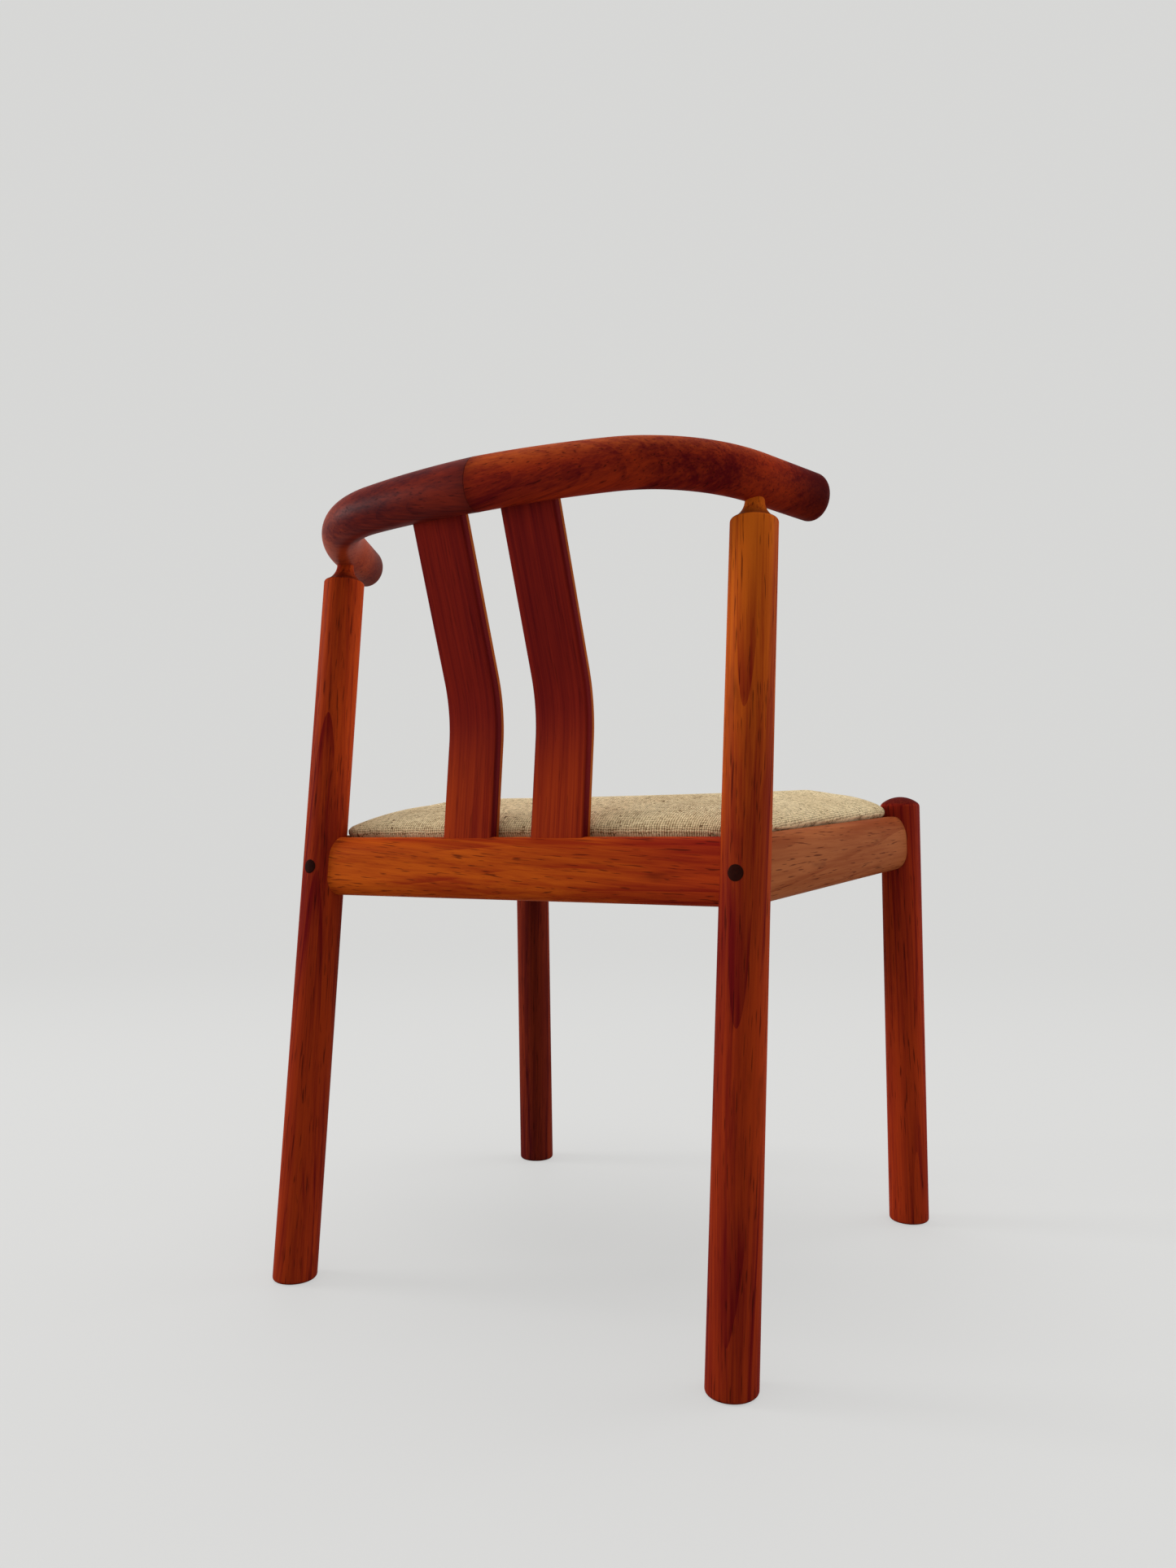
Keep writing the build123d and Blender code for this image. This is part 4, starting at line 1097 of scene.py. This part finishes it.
# Low places between the threads take the Shade colour, painted shade in the gaps; each thread's own tone and
# its nub move it up and down.
depth = calc(weave, "MULTIPLY_ADD", calc(weave, "SUBTRACT", own, 0.5), -1.1, between(weave, high, 0.25, 0.85))
depth = calc(weave, "MULTIPLY_ADD", calc(weave, "SUBTRACT", nub, 0.5), 0.7, depth)
woven = blended(weave, between(weave, depth, -0.1, 0.9), by["Shade"], by["Pale"])

# Flecks of coarser wool, long ones along single threads and broad ones over several
speck = calc(weave, "SUBTRACT", 1.0, by["Fleck Amount"])
coarse = noise(weave, counted, (0.42, 0.62, 0), 1.0)
for pattern, start, end, strength in ((own, 0.0, 0.08, 0.85), (coarse, 0.06, 0.13, 0.7)):
    fleck = between(weave, pattern, calc(weave, "ADD", speck, start), calc(weave, "ADD", speck, end))
    woven = blended(weave, calc(weave, "MULTIPLY", fleck, strength), woven, by["Fleck"])
hair = noise(weave, counted, (3.1, 3.1, 3.1), 3.0, 0.7)
set_inputs(weave, weave_end, {"Color": woven, "Height": calc(weave, "MULTIPLY_ADD", hair, 0.35, high)})
print("weave group:", len(weave.nodes), "nodes")

# %% [markdown]
# ## Seat cover and dust cloth
# Both cloths use the weave group. The wool is cream with brown flecks and a soft sheen, browner in clouds,
# and darker and browner towards the rear as painted shade. Its threads are about two and a half
# millimetres apart. The dust cloth is fine, dark and plain.

# %% Cloth materials
thread_relief = 0.3


def woven_cloth(name, thread, pale, shade, fleck, amount, bump, sheen, attribute=None, soil_and_rear_shade=None):
    """Cloth with relief from its threads, read from the flat cloth's coordinates or the chair's own.

    With soil and rear shade the cloth is darker and browner in clouds, as soiling, and towards one depth of
    the chair, as painted shade, given as start, end and colour.
    """
    material, tree, shader = new_material(name)
    in_chair = add_node(tree, "TexCoord").outputs["Object"]
    inputs = {
        "Vector": in_chair, "Thread": thread, "Pale": (*pale, 1), "Shade": (*shade, 1), "Fleck": (*fleck, 1),
        "Fleck Amount": amount,
    }
    if attribute:
        inputs["Vector"] = add_node(tree, "Attribute", attribute_name=attribute).outputs["Vector"]
    if soil_and_rear_shade:
        start, end, brown = soil_and_rear_shade
        cloud = between(tree, noise(tree, in_chair, (14, 14, 14)), 0.35, 0.65)
        # Darker and browner towards the rear edge of the seat: painted shade.
        rear = between(tree, axis_of(tree, in_chair, "Y"), start, end)
        share = calc(tree, "MULTIPLY", calc(tree, "MULTIPLY_ADD", cloud, 0.5, rear), 0.45)
        inputs["Pale"] = blended(tree, share, (*pale, 1), (*brown, 1))
    cloth = add_node(tree, "Group", inputs, node_tree=weave).outputs
    relief = {"Height": cloth["Height"], "Strength": bump, "Distance": thread * thread_relief}
    set_inputs(tree, shader, {
        "Base Color": cloth["Color"], "Normal": add_node(tree, "Bump", relief).outputs[0], "Roughness": 0.92,
        "Specular IOR Level": 0.05, "Sheen Weight": sheen, "Sheen Roughness": 0.6,
    })
    return material


finish(cushion, woven_cloth(
    "oatmeal wool", 0.0024, (0.97, 0.79, 0.48), (0.23, 0.135, 0.05), (0.13, 0.055, 0.014), 0.37,
    bump=1.0, sheen=0.05, attribute="cloth", soil_and_rear_shade=(0.14, 0.18, (0.60, 0.40, 0.18)),
))
finish(dust_cloth, woven_cloth(
    "dust cloth", 0.0009, (0.06, 0.058, 0.055), (0.018, 0.017, 0.016), (0.03, 0.03, 0.03), 0.1,
    bump=0.4, sheen=0.1,
))
print("cloth on", cushion.name, "and", dust_cloth.name)

# %% [markdown]
# ## Floor and background
# The chair stands on a plain pale floor. Near the chair the floor keeps soft shadows, and far away it
# fades into the background, so no horizon shows. A curved backdrop would do that too, but it would stand
# in the way of other views. The Light Path node shows this pale colour to the camera and to reflections
# only, and the chair is lit by the lamps and by a weaker, even light from all round.

# %% Floor and world
background = (0.682, 0.682, 0.672, 1)
floor_half, floor_drop, fade_start, fade_end, near_glow = 12.0, 0.0004, 0.9, 3.4, 0.76
fill_strength = 0.36


def seen_directly(tree):
    """1 for what the camera sees, also in a reflection or through glass, and 0 for light that bounces."""
    path = add_node(tree, "LightPath").outputs
    direct = calc(tree, "MAXIMUM", path["Is Camera Ray"], path["Is Glossy Ray"])
    return calc(tree, "MAXIMUM", direct, path["Is Transmission Ray"])


def mixed(tree, share, first, second):
    """A mix of what two shader nodes put out."""
    return add_node(tree, "MixShader", {0: share, 1: first.outputs[0], 2: second.outputs[0]})


def pale_floor():
    """A large square that shows soft shadows near the chair and fades into the background far away.

    What the camera sees is part lit floor and part plain glow. Light that bounces off the floor on to
    the chair comes from a plain, darker surface.
    """
    mesh = bpy.data.meshes.new("floor")
    corners = floor_half * np.array([(-1, -1, 0), (1, -1, 0), (1, 1, 0), (-1, 1, 0)]) - (0, 0, floor_drop)
    mesh.from_pydata(corners.tolist(), [], [(0, 1, 2, 3)])
    material, tree, shader = new_material("pale floor")
    lit = {"Base Color": (0.79, 0.79, 0.78, 1), "Roughness": 0.55, "Specular IOR Level": 0.2}
    set_inputs(tree, shader, lit)
    away = length_of(tree, add_node(tree, "TexCoord").outputs["Object"])
    share = calc(tree, "MULTIPLY_ADD", between(tree, away, fade_start, fade_end), 1 - near_glow, near_glow)
    glow = add_node(tree, "Emission", {"Color": background, "Strength": 1.0})
    bounce = add_node(tree, "BsdfDiffuse", {"Color": (0.40, 0.40, 0.39, 1)})
    surface = mixed(tree, seen_directly(tree), bounce, mixed(tree, share, shader, glow))
    set_inputs(tree, tree.nodes["Material Output"], {"Surface": surface.outputs[0]})
    mesh.materials.append(material)
    floor = bpy.data.objects.new("floor", mesh)
    bpy.context.scene.collection.objects.link(floor)


pale_floor()
world = bpy.data.worlds.new("pale surroundings")
bpy.context.scene.world = world
world.use_nodes = True
sky = world.node_tree
shown = add_node(sky, "Background", {"Color": background, "Strength": 1.0})
fill = add_node(sky, "Background", {"Color": (1.0, 1.0, 1.0, 1), "Strength": fill_strength})
both = mixed(sky, seen_directly(sky), fill, shown)
set_inputs(sky, sky.nodes["World Output"], {"Surface": both.outputs[0]})
print("floor and background made")

# %% [markdown]
# ## Camera
# The chair is seen from behind, at about the height of the seat's edge, through a wide lens that looks
# slightly up. A Track To constraint could aim the camera, but here its yaw, pitch and roll are known, and
# its axes follow.

# %% Camera
camera_place = (-0.55497, 0.99037, 0.40896)
yaw, pitch, roll = 0.52935, 0.040414, -0.0056035
focal_pixels, picture_height, sensor = 1399.186, 1927, 36.0


def placement(across, upward, backward, place):
    """The matrix that has three axes and a place as its columns."""
    matrix = np.eye(4)
    matrix[:3] = np.stack([across, upward, backward, place], axis=1)
    return Matrix(matrix.tolist())


ahead = np.array([math.sin(yaw) * math.cos(pitch), -math.cos(yaw) * math.cos(pitch), math.sin(pitch)])
level_right = unit(np.cross(ahead, (0, 0, 1)))
level_up = np.cross(level_right, ahead)
right = math.cos(roll) * level_right + math.sin(roll) * level_up
upward = math.cos(roll) * level_up - math.sin(roll) * level_right
camera_data = bpy.data.cameras.new("camera")
camera_data.sensor_fit = "VERTICAL"
camera_data.sensor_height = camera_data.sensor_width = sensor
camera_data.lens = focal_pixels / picture_height * sensor
camera = bpy.data.objects.new("camera", camera_data)
camera.matrix_world = placement(right, upward, -ahead, camera_place)
bpy.context.scene.collection.objects.link(camera)
bpy.context.scene.camera = camera
print("lens", round(camera_data.lens, 2), "mm")

# %% [markdown]
# ## Lights
# Three large soft lights stand beyond the picture: a strong one on the left, a weaker one on the right
# and one overhead. The side that faces the camera gets the least light, which keeps the wood deep and
# warm there. Each is a square area light that looks at the chair, because a large area gives wide, soft
# shadows.

# %% Lights
chair_middle, nearly_overhead = np.array([0.0, 0.0, 0.4]), 0.99
# Metres to the right, to the front and up from the chair's middle, then the square's side and the watts
lamps = {
    "left side": (-4.6, 0.6, 1.3, 1.5, 120),
    "right side": (4.6, 0.9, 1.0, 3.0, 80),
    "overhead": (0.0, 0.2, 4.6, 5.0, 150),
}


def soft_light(name, place, size, power):
    """A square soft light that looks at the middle of the chair."""
    data = bpy.data.lights.new(name, "AREA")
    data.size, data.energy = size, power
    lamp = bpy.data.objects.new(name, data)
    away = unit(place - chair_middle)
    across = ACROSS if away[2] > nearly_overhead else unit(np.cross((0, 0, 1), away))
    lamp.matrix_world = placement(across, np.cross(away, across), away, place)
    bpy.context.scene.collection.objects.link(lamp)


for name, (to_right, to_front, height, size, power) in lamps.items():
    level = to_right * level_right * (1, 1, 0) + to_front * ahead * (1, 1, 0)
    soft_light(name, chair_middle + level + (0, 0, height), size, power)
print(len(lamps), "soft lights")

# %% [markdown]
# ## View transform
# The picture is shown through the Standard view transform.

# %% Finish
bpy.context.scene.view_settings.view_transform = "Standard"
